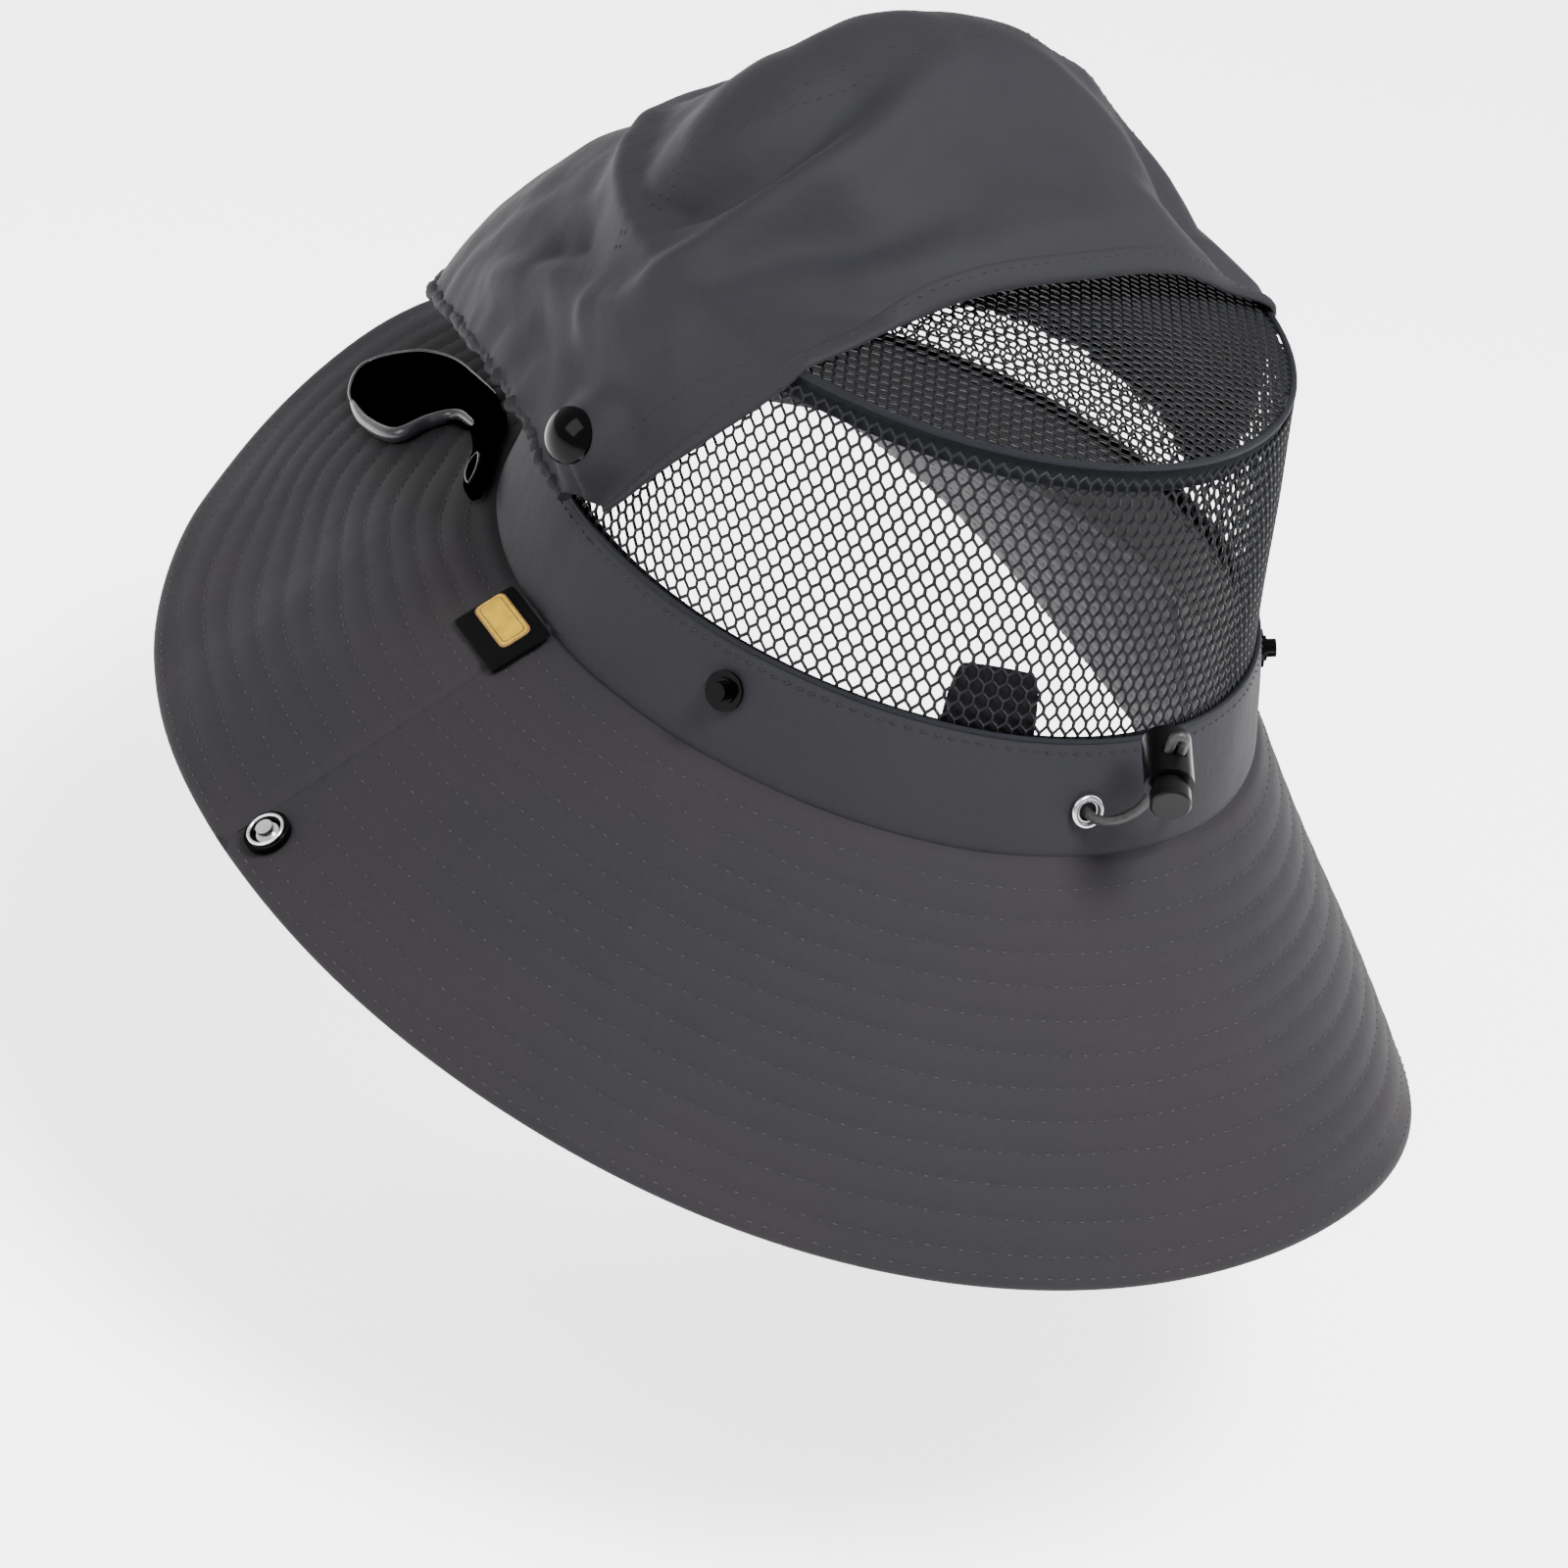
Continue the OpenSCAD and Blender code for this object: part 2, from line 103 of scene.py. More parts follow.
def through(x: float, keys: Sequence[tuple[float, float]]) -> float:
    """A value read from a smooth curve through a few keys.

    Args:
        x: where to read it.
        keys: (place, value) pairs in rising order of place.

    Returns:
        The value at x, held at the ends.
    """
    if x <= keys[0][0]:
        return keys[0][1]
    for k in range(len(keys) - 1):
        x0, y0 = keys[k]
        x1, y1 = keys[k + 1]
        if x > x1:
            continue
        before = keys[k - 1] if k else keys[k]
        after = keys[k + 2] if k + 2 < len(keys) else keys[k + 1]
        m0 = (y1 - before[1]) / (x1 - before[0])
        m1 = (after[1] - y0) / (after[0] - x0)
        h = x1 - x0
        f = (x - x0) / h
        return ((1 + 2 * f) * (1 - f) ** 2 * y0 + f * (1 - f) ** 2 * h * m0
                + f * f * (3 - 2 * f) * y1 + f * f * (f - 1) * h * m1)
    return keys[-1][1]


# ---------------------------------------------------------------- shader sums
class Signal:
    """A shader value that adds and multiplies as a Python number does."""

    def __init__(self, shader: "Shader", socket: bpy.types.NodeSocket) -> None:
        """Keep the socket and the shader that it belongs to."""
        self.shader = shader
        self.socket = socket

    def _sum(self, kind: str, *values: "Signal | float") -> "Signal":
        """One Math node on this shader's values."""
        made = self.shader.node("ShaderNodeMath", {"operation": kind}, dict(enumerate(values)))
        return Signal(self.shader, made.outputs[0])

    def __add__(self, other: "Signal | float") -> "Signal":
        """Sum."""
        return self._sum("ADD", self, other)

    def __mul__(self, other: "Signal | float") -> "Signal":
        """Product."""
        return self._sum("MULTIPLY", self, other)

    def wave(self) -> "Signal":
        """Sine."""
        return self._sum("SINE", self)

    def band(self, low: float, high: float) -> "Signal":
        """0 at low and 1 at high, held beyond them.

        Args:
            low: the value that becomes 0.
            high: the value that becomes 1.

        Returns:
            The remapped signal.
        """
        made = self.shader.node("ShaderNodeMapRange", {"clamp": True},
                                {"Value": self, "From Min": low, "From Max": high})
        return Signal(self.shader, made.outputs["Result"])


class Shader:
    """A material under construction."""

    def __init__(self, name: str) -> None:
        """Start a material with one Principled shader.

        Args:
            name: the material's name.
        """
        self.material = bpy.data.materials.new(name)
        self.material.use_nodes = True
        self.tree = self.material.node_tree
        self.skin = self.tree.nodes["Principled BSDF"]

    def node(self, kind: str, settings: dict, values: dict) -> bpy.types.Node:
        """Add a node.

        Args:
            kind: Blender's type of node.
            settings: properties set on it first.
            values: numbers, colours or Signals for its input sockets, by name or place.

        Returns:
            The node.
        """
        made = self.tree.nodes.new(kind)
        for key, value in settings.items():
            setattr(made, key, value)
        for key, value in values.items():
            if isinstance(value, Signal):
                self.tree.links.new(value.socket, made.inputs[key])
            else:
                made.inputs[key].default_value = value
        return made

    def cloth_uv(self) -> tuple[Signal, Signal]:
        """Metres across and along the cut cloth.

        Returns:
            The two as signals.
        """
        place = self.node("ShaderNodeTexCoord", {}, {})
        parts = self.node("ShaderNodeSeparateXYZ", {}, {0: Signal(self, place.outputs["UV"])})
        return Signal(self, parts.outputs[0]), Signal(self, parts.outputs[1])

    def speckle(self, scale: float, detail: float = 3.0, rough: float = 0.5) -> Signal:
        """Noise fixed to the piece, about 0.5 in the middle.

        Args:
            scale: lumps to a metre.
            detail: how many finer layers it has.
            rough: how strong the finer layers are.

        Returns:
            The noise.
        """
        place = self.node("ShaderNodeTexCoord", {}, {})
        made = self.node("ShaderNodeTexNoise", {}, {"Vector": Signal(self, place.outputs["Object"]),
                                                    "Scale": scale, "Detail": detail, "Roughness": rough})
        return Signal(self, made.outputs[0])

    def tint(self, share: Signal, low: Colour, high: Colour) -> Signal:
        """A colour between two, by a share.

        Args:
            share: how far it lies from low to high.
            low: the colour at 0.
            high: the colour at 1.

        Returns:
            The mixed colour.
        """
        made = self.node("ShaderNodeMix", {"data_type": "RGBA"},
                         {0: share, 6: (*low, 1.0), 7: (*high, 1.0)})
        return Signal(self, made.outputs[2])

    def bump(self, height: Signal, depth: float, strength: float) -> None:
        """Roughen the surface.

        Args:
            height: the relief, 0 to 1.
            depth: its depth in metres.
            strength: how much of it shows.
        """
        made = self.node("ShaderNodeBump", {}, {"Height": height, "Distance": depth, "Strength": strength})
        self.tree.links.new(made.outputs[0], self.skin.inputs["Normal"])

    def give(self, socket: str, value: "Signal | float | tuple") -> None:
        """Set or link one socket of the shader.

        Args:
            socket: the socket's name.
            value: a signal, a number or a colour.
        """
        if isinstance(value, Signal):
            self.tree.links.new(value.socket, self.skin.inputs[socket])
        else:
            self.skin.inputs[socket].default_value = value


def shade(colour: Colour, share: float) -> Colour:
    """The colour made lighter or darker by a share."""
    return tuple(c * share for c in colour)


# ---------------------------------------------------------------- finishes
@dataclass(frozen=True)
class WovenCloth:
    """Plain-woven cloth with a faint slub and a soft crumple."""

    name: str
    colour: Colour
    thread: float = 0.00042
    weave: float = 0.35
    crumple: float = 0.5
    rough: float = 0.72
    sheen: float = 0.012
    shine: float = 0.12
    slub_scale: float = 900.0
    cloud_scale: float = 14.0
    fold_scale: float = 95.0
    relief: float = 0.0012
    warm: Colour | None = None

    def material(self) -> bpy.types.Material:
        """Make the finish.

        Returns:
            The material.
        """
        s = Shader(self.name)
        across, along = s.cloth_uv()
        turn = 2 * math.pi / self.thread
        threads = (across * turn).wave() * (along * turn).wave() * 0.5 + 0.5
        slub = s.speckle(self.slub_scale, 2.0)
        clouds = s.speckle(self.cloud_scale, 4.0, 0.6)
        share = (clouds * 0.75 + slub * 0.25).band(0.3, 0.7)
        s.give("Base Color", s.tint(share, shade(self.colour, 0.9), self.warm or shade(self.colour, 1.1)))
        s.give("Roughness", clouds * 0.16 + (self.rough - 0.08))
        folds = s.speckle(self.fold_scale, 5.0, 0.55)
        s.bump(threads * (0.06 * self.weave) + slub * 0.05 + folds * self.crumple, self.relief, 0.55)
        s.give("Sheen Weight", self.sheen)
        s.give("Sheen Roughness", 0.5)
        s.give("Specular IOR Level", self.shine)
        return s.material


@dataclass(frozen=True)
class Yarn:
    """Twisted or knitted yarn: netting, sewing thread and drawcord."""

    name: str
    colour: Colour
    twist: float = 900.0
    rough: float = 0.6
    shine: float = 0.14
    relief: float = 0.0003

    def material(self) -> bpy.types.Material:
        """Make the finish.

        Returns:
            The material.
        """
        s = Shader(self.name)
        fuzz = s.speckle(self.twist, 3.0)
        dark, light = shade(self.colour, 0.75), shade(self.colour, 1.25)
        s.give("Base Color", s.tint(fuzz.band(0.3, 0.7), dark, light))
        s.give("Roughness", fuzz * 0.2 + (self.rough - 0.1))
        s.bump(fuzz, self.relief, 0.5)
        s.give("Specular IOR Level", self.shine)
        return s.material


@dataclass(frozen=True)
class Braid:
    """A round braid with a coarse and a fine mottle."""

    name: str
    colour: Colour
    fibre_scale: float = 2600.0
    braid_scale: float = 700.0
    relief: float = 0.0004

    def material(self) -> bpy.types.Material:
        """Make the finish.

        Returns:
            The material.
        """
        s = Shader(self.name)
        fine = s.speckle(self.fibre_scale, 2.0)
        coarse = s.speckle(self.braid_scale, 2.0)
        dark, light = shade(self.colour, 0.7), shade(self.colour, 1.4)
        s.give("Base Color", s.tint(coarse.band(0.35, 0.65), dark, light))
        s.give("Roughness", fine * 0.2 + 0.45)
        s.bump(fine * 0.5 + coarse * 0.5, self.relief, 0.7)
        return s.material


@dataclass(frozen=True)
class Moulded:
    """Moulded plastic or lacquered metal, with faint mottling and rub marks."""

    name: str
    colour: Colour
    rough: float = 0.3
    grain: float = 0.1
    metal: float = 0.0
    shine: float = 0.5
    rub_scale: float = 240.0
    grain_scale: float = 3200.0
    relief: float = 0.0002

    def material(self) -> bpy.types.Material:
        """Make the finish.

        Returns:
            The material.
        """
        s = Shader(self.name)
        rub = s.speckle(self.rub_scale, 4.0, 0.6)
        fine = s.speckle(self.grain_scale, 2.0)
        dark, light = shade(self.colour, 0.92), shade(self.colour, 1.12)
        s.give("Base Color", s.tint(rub.band(0.35, 0.7), dark, light))
        s.give("Roughness", rub * 0.12 + (self.rough - 0.06))
        s.give("Metallic", self.metal)
        s.give("Specular IOR Level", self.shine)
        s.bump(fine * 0.4 + rub * 0.6, self.relief, self.grain)
        return s.material


@dataclass(frozen=True)
class Badge:
    """A moulded badge: a field with a darker worn edge."""

    name: str
    colour: Colour
    edge: Colour
    cloud_scale: float = 420.0
    relief: float = 0.0002

    def material(self) -> bpy.types.Material:
        """Make the finish.

        Returns:
            The material.
        """
        s = Shader(self.name)
        cloud = s.speckle(self.cloud_scale, 3.0)
        s.give("Base Color", s.tint(cloud.band(0.3, 0.75), self.edge, self.colour))
        s.give("Roughness", cloud * 0.2 + 0.35)
        s.bump(cloud, self.relief, 0.25)
        return s.material


# ---------------------------------------------------------------- meshes
def put(name: str, verts: Iterable[Vector], faces: Iterable[Sequence[int]],
        material: bpy.types.Material, rounded: bool = True) -> bpy.types.Object:
    """A mesh object from points in millimetres.

    Args:
        name: the piece's name.
        verts: its points.
        faces: its faces, as places in verts.
        material: its finish.
        rounded: whether its faces are shaded smooth.

    Returns:
        The object, at the origin.
    """
    mesh = bpy.data.meshes.new(name)
    mesh.from_pydata([Vector(v) * MM for v in verts], [], [tuple(f) for f in faces])
    mesh.polygons.foreach_set("use_smooth", [rounded] * len(mesh.polygons))
    mesh.materials.append(material)
    made = bpy.data.objects.new(name, mesh)
    bpy.context.scene.collection.objects.link(made)
    return made


@dataclass
class Web:
    """A coarse grid of points with its place on the cut cloth, in millimetres."""

    rows: list[list[Vector]]
    cut: list[list[tuple[float, float]]]
    wrap: bool = False

    def piece(self, name: str, material: bpy.types.Material, flip: bool = False) -> bpy.types.Object:
        """Make the grid a mesh with a UV map in metres.

        Args:
            name: the piece's name.
            material: its finish.
            flip: turns the faces over.

        Returns:
            The object.
        """
        wide = len(self.rows[0])
        last = wide if self.wrap else wide - 1
        faces = []
        cuts = []
        for i in range(len(self.rows) - 1):
            for j in range(last):
                corners = [(i, j), (i, j + 1), (i + 1, j + 1), (i + 1, j)]
                if flip:
                    corners.reverse()
                faces.append([a * wide + b % wide for a, b in corners])
                cuts.extend(self.cut[a][b] for a, b in corners)
        made = put(name, [p for r in self.rows for p in r], faces, material)
        layer = made.data.uv_layers.new(name="cloth")
        layer.data.foreach_set("uv", [x * MM for c in cuts for x in c])
        return made


def thicken(piece: bpy.types.Object, thickness: float, offset: float = -1.0) -> None:
    """Give a sheet its thickness, in millimetres; -1 grows it inwards and 1 outwards.

    Args:
        piece: the sheet.
        thickness: how thick it becomes.
        offset: the side that it grows to.
    """
    stack = piece.modifiers.new("thickness", "SOLIDIFY")
    stack.thickness = thickness * MM
    stack.offset = offset


def soften(piece: bpy.types.Object, levels: int = 1) -> None:
    """Round a cage by subdivision.

    Args:
        piece: the cage.
        levels: how often each face is divided.
    """
    stack = piece.modifiers.new("soft", "SUBSURF")
    stack.levels = levels
    stack.render_levels = levels


def round_edges(piece: bpy.types.Object, width: float, segments: int = 2) -> None:
    """Bevel a piece's sharp edges, in millimetres.

    Args:
        piece: what is bevelled.
        width: the width of the bevel.
        segments: how many faces it has.
    """
    stack = piece.modifiers.new("edges", "BEVEL")
    stack.width = width * MM
    stack.segments = segments
    stack.limit_method = "ANGLE"


def settle(piece: bpy.types.Object) -> None:
    """Apply a piece's whole stack.

    Args:
        piece: what is made plain.
    """
    bpy.context.view_layer.update()
    seen = piece.evaluated_get(bpy.context.evaluated_depsgraph_get())
    mesh = bpy.data.meshes.new_from_object(seen, preserve_all_data_layers=True,
                                           depsgraph=bpy.context.evaluated_depsgraph_get())
    piece.modifiers.clear()
    piece.data = mesh


def surface(piece: bpy.types.Object) -> BVHTree:
    """A piece's finished surface, for laying stitches on."""
    bpy.context.view_layer.update()
    return BVHTree.FromObject(piece, bpy.context.evaluated_depsgraph_get())


def tube(name: str, path: Sequence[Vector], radius: float, material: bpy.types.Material,
         cyclic: bool = False, widths: Sequence[float] | None = None) -> bpy.types.Object:
    """A round tube along a path in millimetres.

    Args:
        name: the piece's name.
        path: points that it follows.
        radius: its radius.
        material: its finish.
        cyclic: joins its ends.
        widths: a share of the radius at each point.

    Returns:
        A curve object.
    """
    curve = bpy.data.curves.new(name, "CURVE")
    curve.dimensions = "3D"
    curve.bevel_depth = radius * MM
    curve.bevel_resolution = 3
    curve.use_fill_caps = not cyclic
    line = curve.splines.new("POLY")
    line.points.add(len(path) - 1)
    line.use_smooth = True
    for k, p in enumerate(path):
        line.points[k].co = (*(Vector(p) * MM), 1.0)
        line.points[k].radius = widths[k] if widths else 1.0
    line.use_cyclic_u = cyclic
    curve.materials.append(material)
    made = bpy.data.objects.new(name, curve)
    bpy.context.scene.collection.objects.link(made)
    return made


@dataclass
class Thread:
    """Rows of sewn stitches, all in one mesh."""

    length: float = 2.5
    pitch: float = 3.3
    width: float = 0.42
    height: float = 0.3
    feel: float = 6.0
    verts: list[Vector] = field(default_factory=list)
    faces: list[Sequence[int]] = field(default_factory=list)

    def sew(self, path: Sequence[Vector], normals: Sequence[Vector], onto: BVHTree | None = None) -> None:
        """Lay stitches along a path.

        Args:
            path: points on the cloth, in millimetres.
            normals: the way out of the cloth at each.
            onto: the finished cloth's surface, in metres, that they are laid down on.
        """
        if onto:
            path = [self._laid(p, up, onto) for p, up in zip(path, normals)]
        reached = 0.0
        due = self.pitch / 2
        for a, b, up in zip(path, path[1:], normals):
            span = (b - a).length
            while span > 1e-6 and due <= reached + span:
                along = (b - a) / span
                self._stitch(a + along * (due - reached), along, up)
                uneven = 0.08 * math.sin(due * 1.7)
                due += self.pitch * (1 + uneven)
            reached += span

    def _laid(self, p: Vector, up: Vector, onto: BVHTree) -> Vector:
        """A point moved along its normal to the outside of the cloth."""
        hit = onto.ray_cast((p + up * self.feel) * MM, -up, 2 * self.feel * MM)[0]
        return hit / MM if hit else p

    def _stitch(self, middle: Vector, along: Vector, up: Vector) -> None:
        """One stitch, a spindle with its ends in the cloth.

        Args:
            middle: its middle.
            along: the way it runs.
            up: the way out of the cloth.
        """
        side = along.cross(up).normalized() * self.width / 2
        first = len(self.verts)
        tip = along * self.length / 2
        sunk = up * self.height * 0.5
        self.verts += [middle - tip - sunk, middle + side, middle + up * self.height,
                       middle - side, middle - sunk, middle + tip - sunk]
        for a, b in ((1, 2), (2, 3), (3, 4), (4, 1)):
            self.faces.append((first, first + b, first + a))
            self.faces.append((first + 5, first + a, first + b))

    def piece(self, name: str, material: bpy.types.Material) -> bpy.types.Object:
        """Make the rows one mesh."""
        return put(name, self.verts, self.faces, material)


def dress(node: str, material: bpy.types.Material) -> None:
    """Give a carried-over node its finish.

    Args:
        node: the node's name.
        material: its finish.
    """
    mesh = bpy.data.objects[node].data
    mesh.materials.clear()
    mesh.materials.append(material)
    log.info("dressed %s in %s", node, material.name)


def place(piece: bpy.types.Object, slot: str, *nodes: str, body: str = HAT) -> bpy.types.Object:
    """Put a piece on its body.

    Args:
        piece: the piece.
        slot: the record's material slot of its finish; not used.
        nodes: the nodes that it stands for.
        body: the body that it rides on.

    Returns:
        The piece.
    """
    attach(piece, body)
    if nodes:
        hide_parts(*nodes)
    log.info("made %s on %s", piece.name, body)
    return piece


# ---------------------------------------------------------------- the head's oval and the two skins
@dataclass(frozen=True)
class Crown:
    """The crown's leaning oval wall, worked out from the frame's band and rim tape."""

    half_w: float
    half_l: float
    band_h: float = 25.0
    band_scale: float = 0.93
    rim_h: float = 83.0
    rim_scale: float = 0.86
    rim_forward: float = 5.0
    top_rise: float = 9.0
    top_base: float = 2.4
    band_t: float = 0.4

    @classmethod
    def from_frame(cls) -> "Crown":
        """Read the head opening's size from the band."""
        low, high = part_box("crown_band")
        return cls((high.x - low.x) / 2 / MM - cls.band_t, (high.y - low.y) / 2 / MM - cls.band_t)

    def scale(self, z: float) -> float:
        """The oval's size at a height.

        Args:
            z: the height.

        Returns:
            Its size as a share of the oval at the base.
        """
        if z <= self.band_h:
            return 1 - (1 - self.band_scale) * z / self.band_h
        share = (z - self.band_h) / (self.rim_h - self.band_h)
        return self.band_scale - (self.band_scale - self.rim_scale) * share

    def middle(self, z: float) -> float:
        """Where the oval's middle sits along Y at a height."""
        return -self.rim_forward * max(z - self.band_h, 0.0) / (self.rim_h - self.band_h)

    def at(self, t: float, z: float, off: float = 0.0) -> Vector:
        """A point on the wall, t degrees from the left ear towards the nape.

        Args:
            t: the turn.
            z: the height.
            off: how far it stands off the wall.

        Returns:
            The point.
        """
        a = math.radians(t)
        s = self.scale(z)
        return Vector(((self.half_w * s + off) * math.cos(a),
                       (self.half_l * s + off) * math.sin(a) + self.middle(z), z))

    def out(self, t: float) -> Vector:
        """Level direction out of the wall."""
        a = math.radians(t)
        return Vector((self.half_l * math.cos(a), self.half_w * math.sin(a), 0)).normalized()

    def face(self, t: float) -> Vector:
        """Straight out of the band's leaning face.

        Args:
            t: the turn.

        Returns:
            The unit direction.
        """
        a = math.radians(t)
        reach = math.hypot(self.half_w * math.cos(a), self.half_l * math.sin(a))
        return (self.out(t) + Vector((0, 0, (1 - self.band_scale) * reach / self.band_h))).normalized()

    def round_at(self, z: float = 0.0) -> float:
        """Distance round the oval at a height."""
        return 2 * math.pi * math.hypot(self.half_w, self.half_l) / math.sqrt(2) * self.scale(z)

    def holds(self, p: Vector) -> bool:
        """Whether a point lies inside the crown.

        Args:
            p: the point.

        Returns:
            True where it lies inside.
        """
        z = min(p.z, self.rim_h)
        s = self.scale(z)
        k = (p.x / (self.half_w * s)) ** 2 + ((p.y - self.middle(z)) / (self.half_l * s)) ** 2
        return k < 1 and p.z < self.rim_h + self.top_base + self.top_rise * (1 - k)

    def reach(self, start: Vector, way: Vector) -> float:
        """Distance from a point inside to the crown's skin.

        Args:
            start: the point.
            way: the unit direction.

        Returns:
            The distance.
        """
        near, far = 0.0, 2 * self.half_l
        for _ in range(20):
            half = (near + far) / 2
            if self.holds(start + way * half):
                near = half
            else:
                far = half
        return near


@dataclass(frozen=True)
class BrimSkin:
    """The brim's ruled surface: t round the head, d out from the seam, e above its middle."""

    crown: Crown
    front: float = 86.0
    side: float = 83.0
    back: float = 89.0
    droop_mean: float = 42.0
    droop_back: float = 11.0
    droop_ears: float = 8.0
    droop_right: float = 9.0
    droop_fold: float = 5.0
    droop_wave: float = 2.4
    brow_lift: float = 8.0
    brow_spread: float = 22.0
    slow_wave: float = 0.9
    quick_wave: float = 0.5
    ripple_rise: float = 0.2

    def droop(self, t: float) -> float:
        """How far the brim hangs, in degrees.

        Args:
            t: the turn.

        Returns:
            The angle.
        """
        a = math.radians(t)
        from_brow = min(abs(t + 90), abs(t - 270))
        return (self.droop_mean + self.droop_back * math.sin(a) + self.droop_ears * math.cos(2 * a)
                - self.droop_right * math.cos(a) - self.droop_fold * math.cos(3 * a)
                - self.droop_wave * math.sin(3 * a) - self.brow_lift * bell(from_brow, self.brow_spread))

    def width(self, t: float) -> float:
        """The brim's width.

        Args:
            t: the turn.

        Returns:
            The width there.
        """
        s = math.sin(math.radians(t))
        mean = (self.back + self.front) / 2
        return self.side + (self.back - self.front) / 2 * s + (mean - self.side) * s * s

    def up(self, t: float) -> Vector:
        """The way out of the brim's upper face."""
        a = math.radians(self.droop(t))
        return self.crown.out(t) * math.sin(a) + Vector((0, 0, math.cos(a)))

    def at(self, t: float, d: float, e: float = 0.0) -> Vector:
        """A point of the brim.

        Args:
            t: the turn.
            d: how far out it lies.
            e: how far above the middle of the cloth.

        Returns:
            The point.
        """
        a = math.radians(self.droop(t))
        return (self.crown.at(t, 0) + d * (self.crown.out(t) * math.cos(a) - Vector((0, 0, math.sin(a))))
                + e * self.up(t))

    def wave(self, t: float, d: float) -> float:
        """The cloth's slow rise and fall off the ruled surface.

        Args:
            t: the turn.
            d: how far out it lies.

        Returns:
            The rise there.
        """
        a = math.radians(t)
        share = smooth(d / self.side)
        front_left = bell((t + 45 + 360) % 360 - 360 if t > 180 else t + 45, 38)
        slow = self.slow_wave * math.sin(5 * a + d / 26) + self.quick_wave * math.sin(9 * a - d / 17 + 1.0)
        ripple = self.ripple_rise * front_left * math.sin(d / 6.5 + 4 * math.sin(7 * a))
        return share * slow + ripple * smooth(d / 20)

    def round_at(self, d: float) -> float:
        """Rough distance round the brim, d out."""
        return self.crown.round_at() + 2 * math.pi * d * math.cos(math.radians(self.droop_mean))


@dataclass(frozen=True)
class Fold:
    """A soft fold of the cover: points as (al, b) in degrees, its width and height in millimetres."""

    route: tuple[tuple[float, float], ...]
    width: float
    height: float


COVER_KEYS: tuple[tuple[float, float, float, float], ...] = (
    # al, radius at the middle, radius at the sides, squareness
    (54, 71.1, 74.4, 2.0),
    (72, 80.9, 77.7, 2.4),
    (90, 88.2, 80.8, 2.31),
    (110, 106.9, 80.8, 2.2),
    (130, 100.8, 83.0, 2.07),
    (150, 108.3, 84.0, 2.12),
    (170, 128.1, 83.7, 2.35),
    (191, 159.8, 80.1, 2.63),
)

COVER_CURVES = tuple(tuple((key[0], key[n]) for key in COVER_KEYS) for n in (1, 2, 3))

# b, then the angle al of the hem there
HEM_KEYS: tuple[tuple[float, float], ...] = (
    (0, 49), (8, 51), (16, 53.5), (26, 54), (38, 54.5), (46, 55.6), (54, 59), (62, 63),
    (74, 65.5), (98, 67.5), (122, 71), (134, 72), (144, 67), (156, 57), (170, 51), (180, 49))

# b, then the angle al of the tip seam there
TIP_KEYS: tuple[tuple[float, float], ...] = (
    (38, 118), (52, 110.5), (62, 104.5), (72.5, 102.5), (84.5, 103.5), (96, 106), (142, 112))

COVER_FOLDS: tuple[Fold, ...] = (
    Fold(((120, 29), (104, 31), (96, 35), (91, 44), (90, 54), (90, 64), (92, 71), (96, 79), (101, 88)),
         5.2, 6.5),
    Fold(((148, 44), (132, 43), (113, 44), (102, 49), (98, 56), (98, 64), (100, 72)), 5.2, -7.0),
    Fold(((88, 48), (81, 57), (78, 66), (77, 78)), 7.5, -5.0),
    Fold(((184, 57), (165, 46), (143, 37), (124, 31)), 5.5, 3.2),
    Fold(((68, 61), (69, 77), (73, 95), (82, 114)), 5.0, 2.8),
    Fold(((104, 96), (98, 106), (94, 118)), 6.0, 2.6),
    Fold(((114, 112), (100, 122), (90, 128), (78, 136), (64, 142)), 13.0, -6.5),
    Fold(((104, 118), (100, 126), (98, 136)), 4.0, 3.0),
    Fold(((176, 76), (156, 76), (134, 78), (118, 76)), 8.0, -2.6),
    Fold(((180, 92), (160, 94), (138, 92), (122, 90)), 8.0, 3.2),
    Fold(((176, 108), (152, 112), (128, 108)), 8.0, -3.0),
    Fold(((168, 122), (146, 128), (124, 124), (108, 112)), 7.0, 3.2),
    Fold(((152, 142), (126, 144), (104, 138)), 6.0, -3.0),
    Fold(((96, 152), (88, 144), (84, 134)), 5.0, 2.4),
)


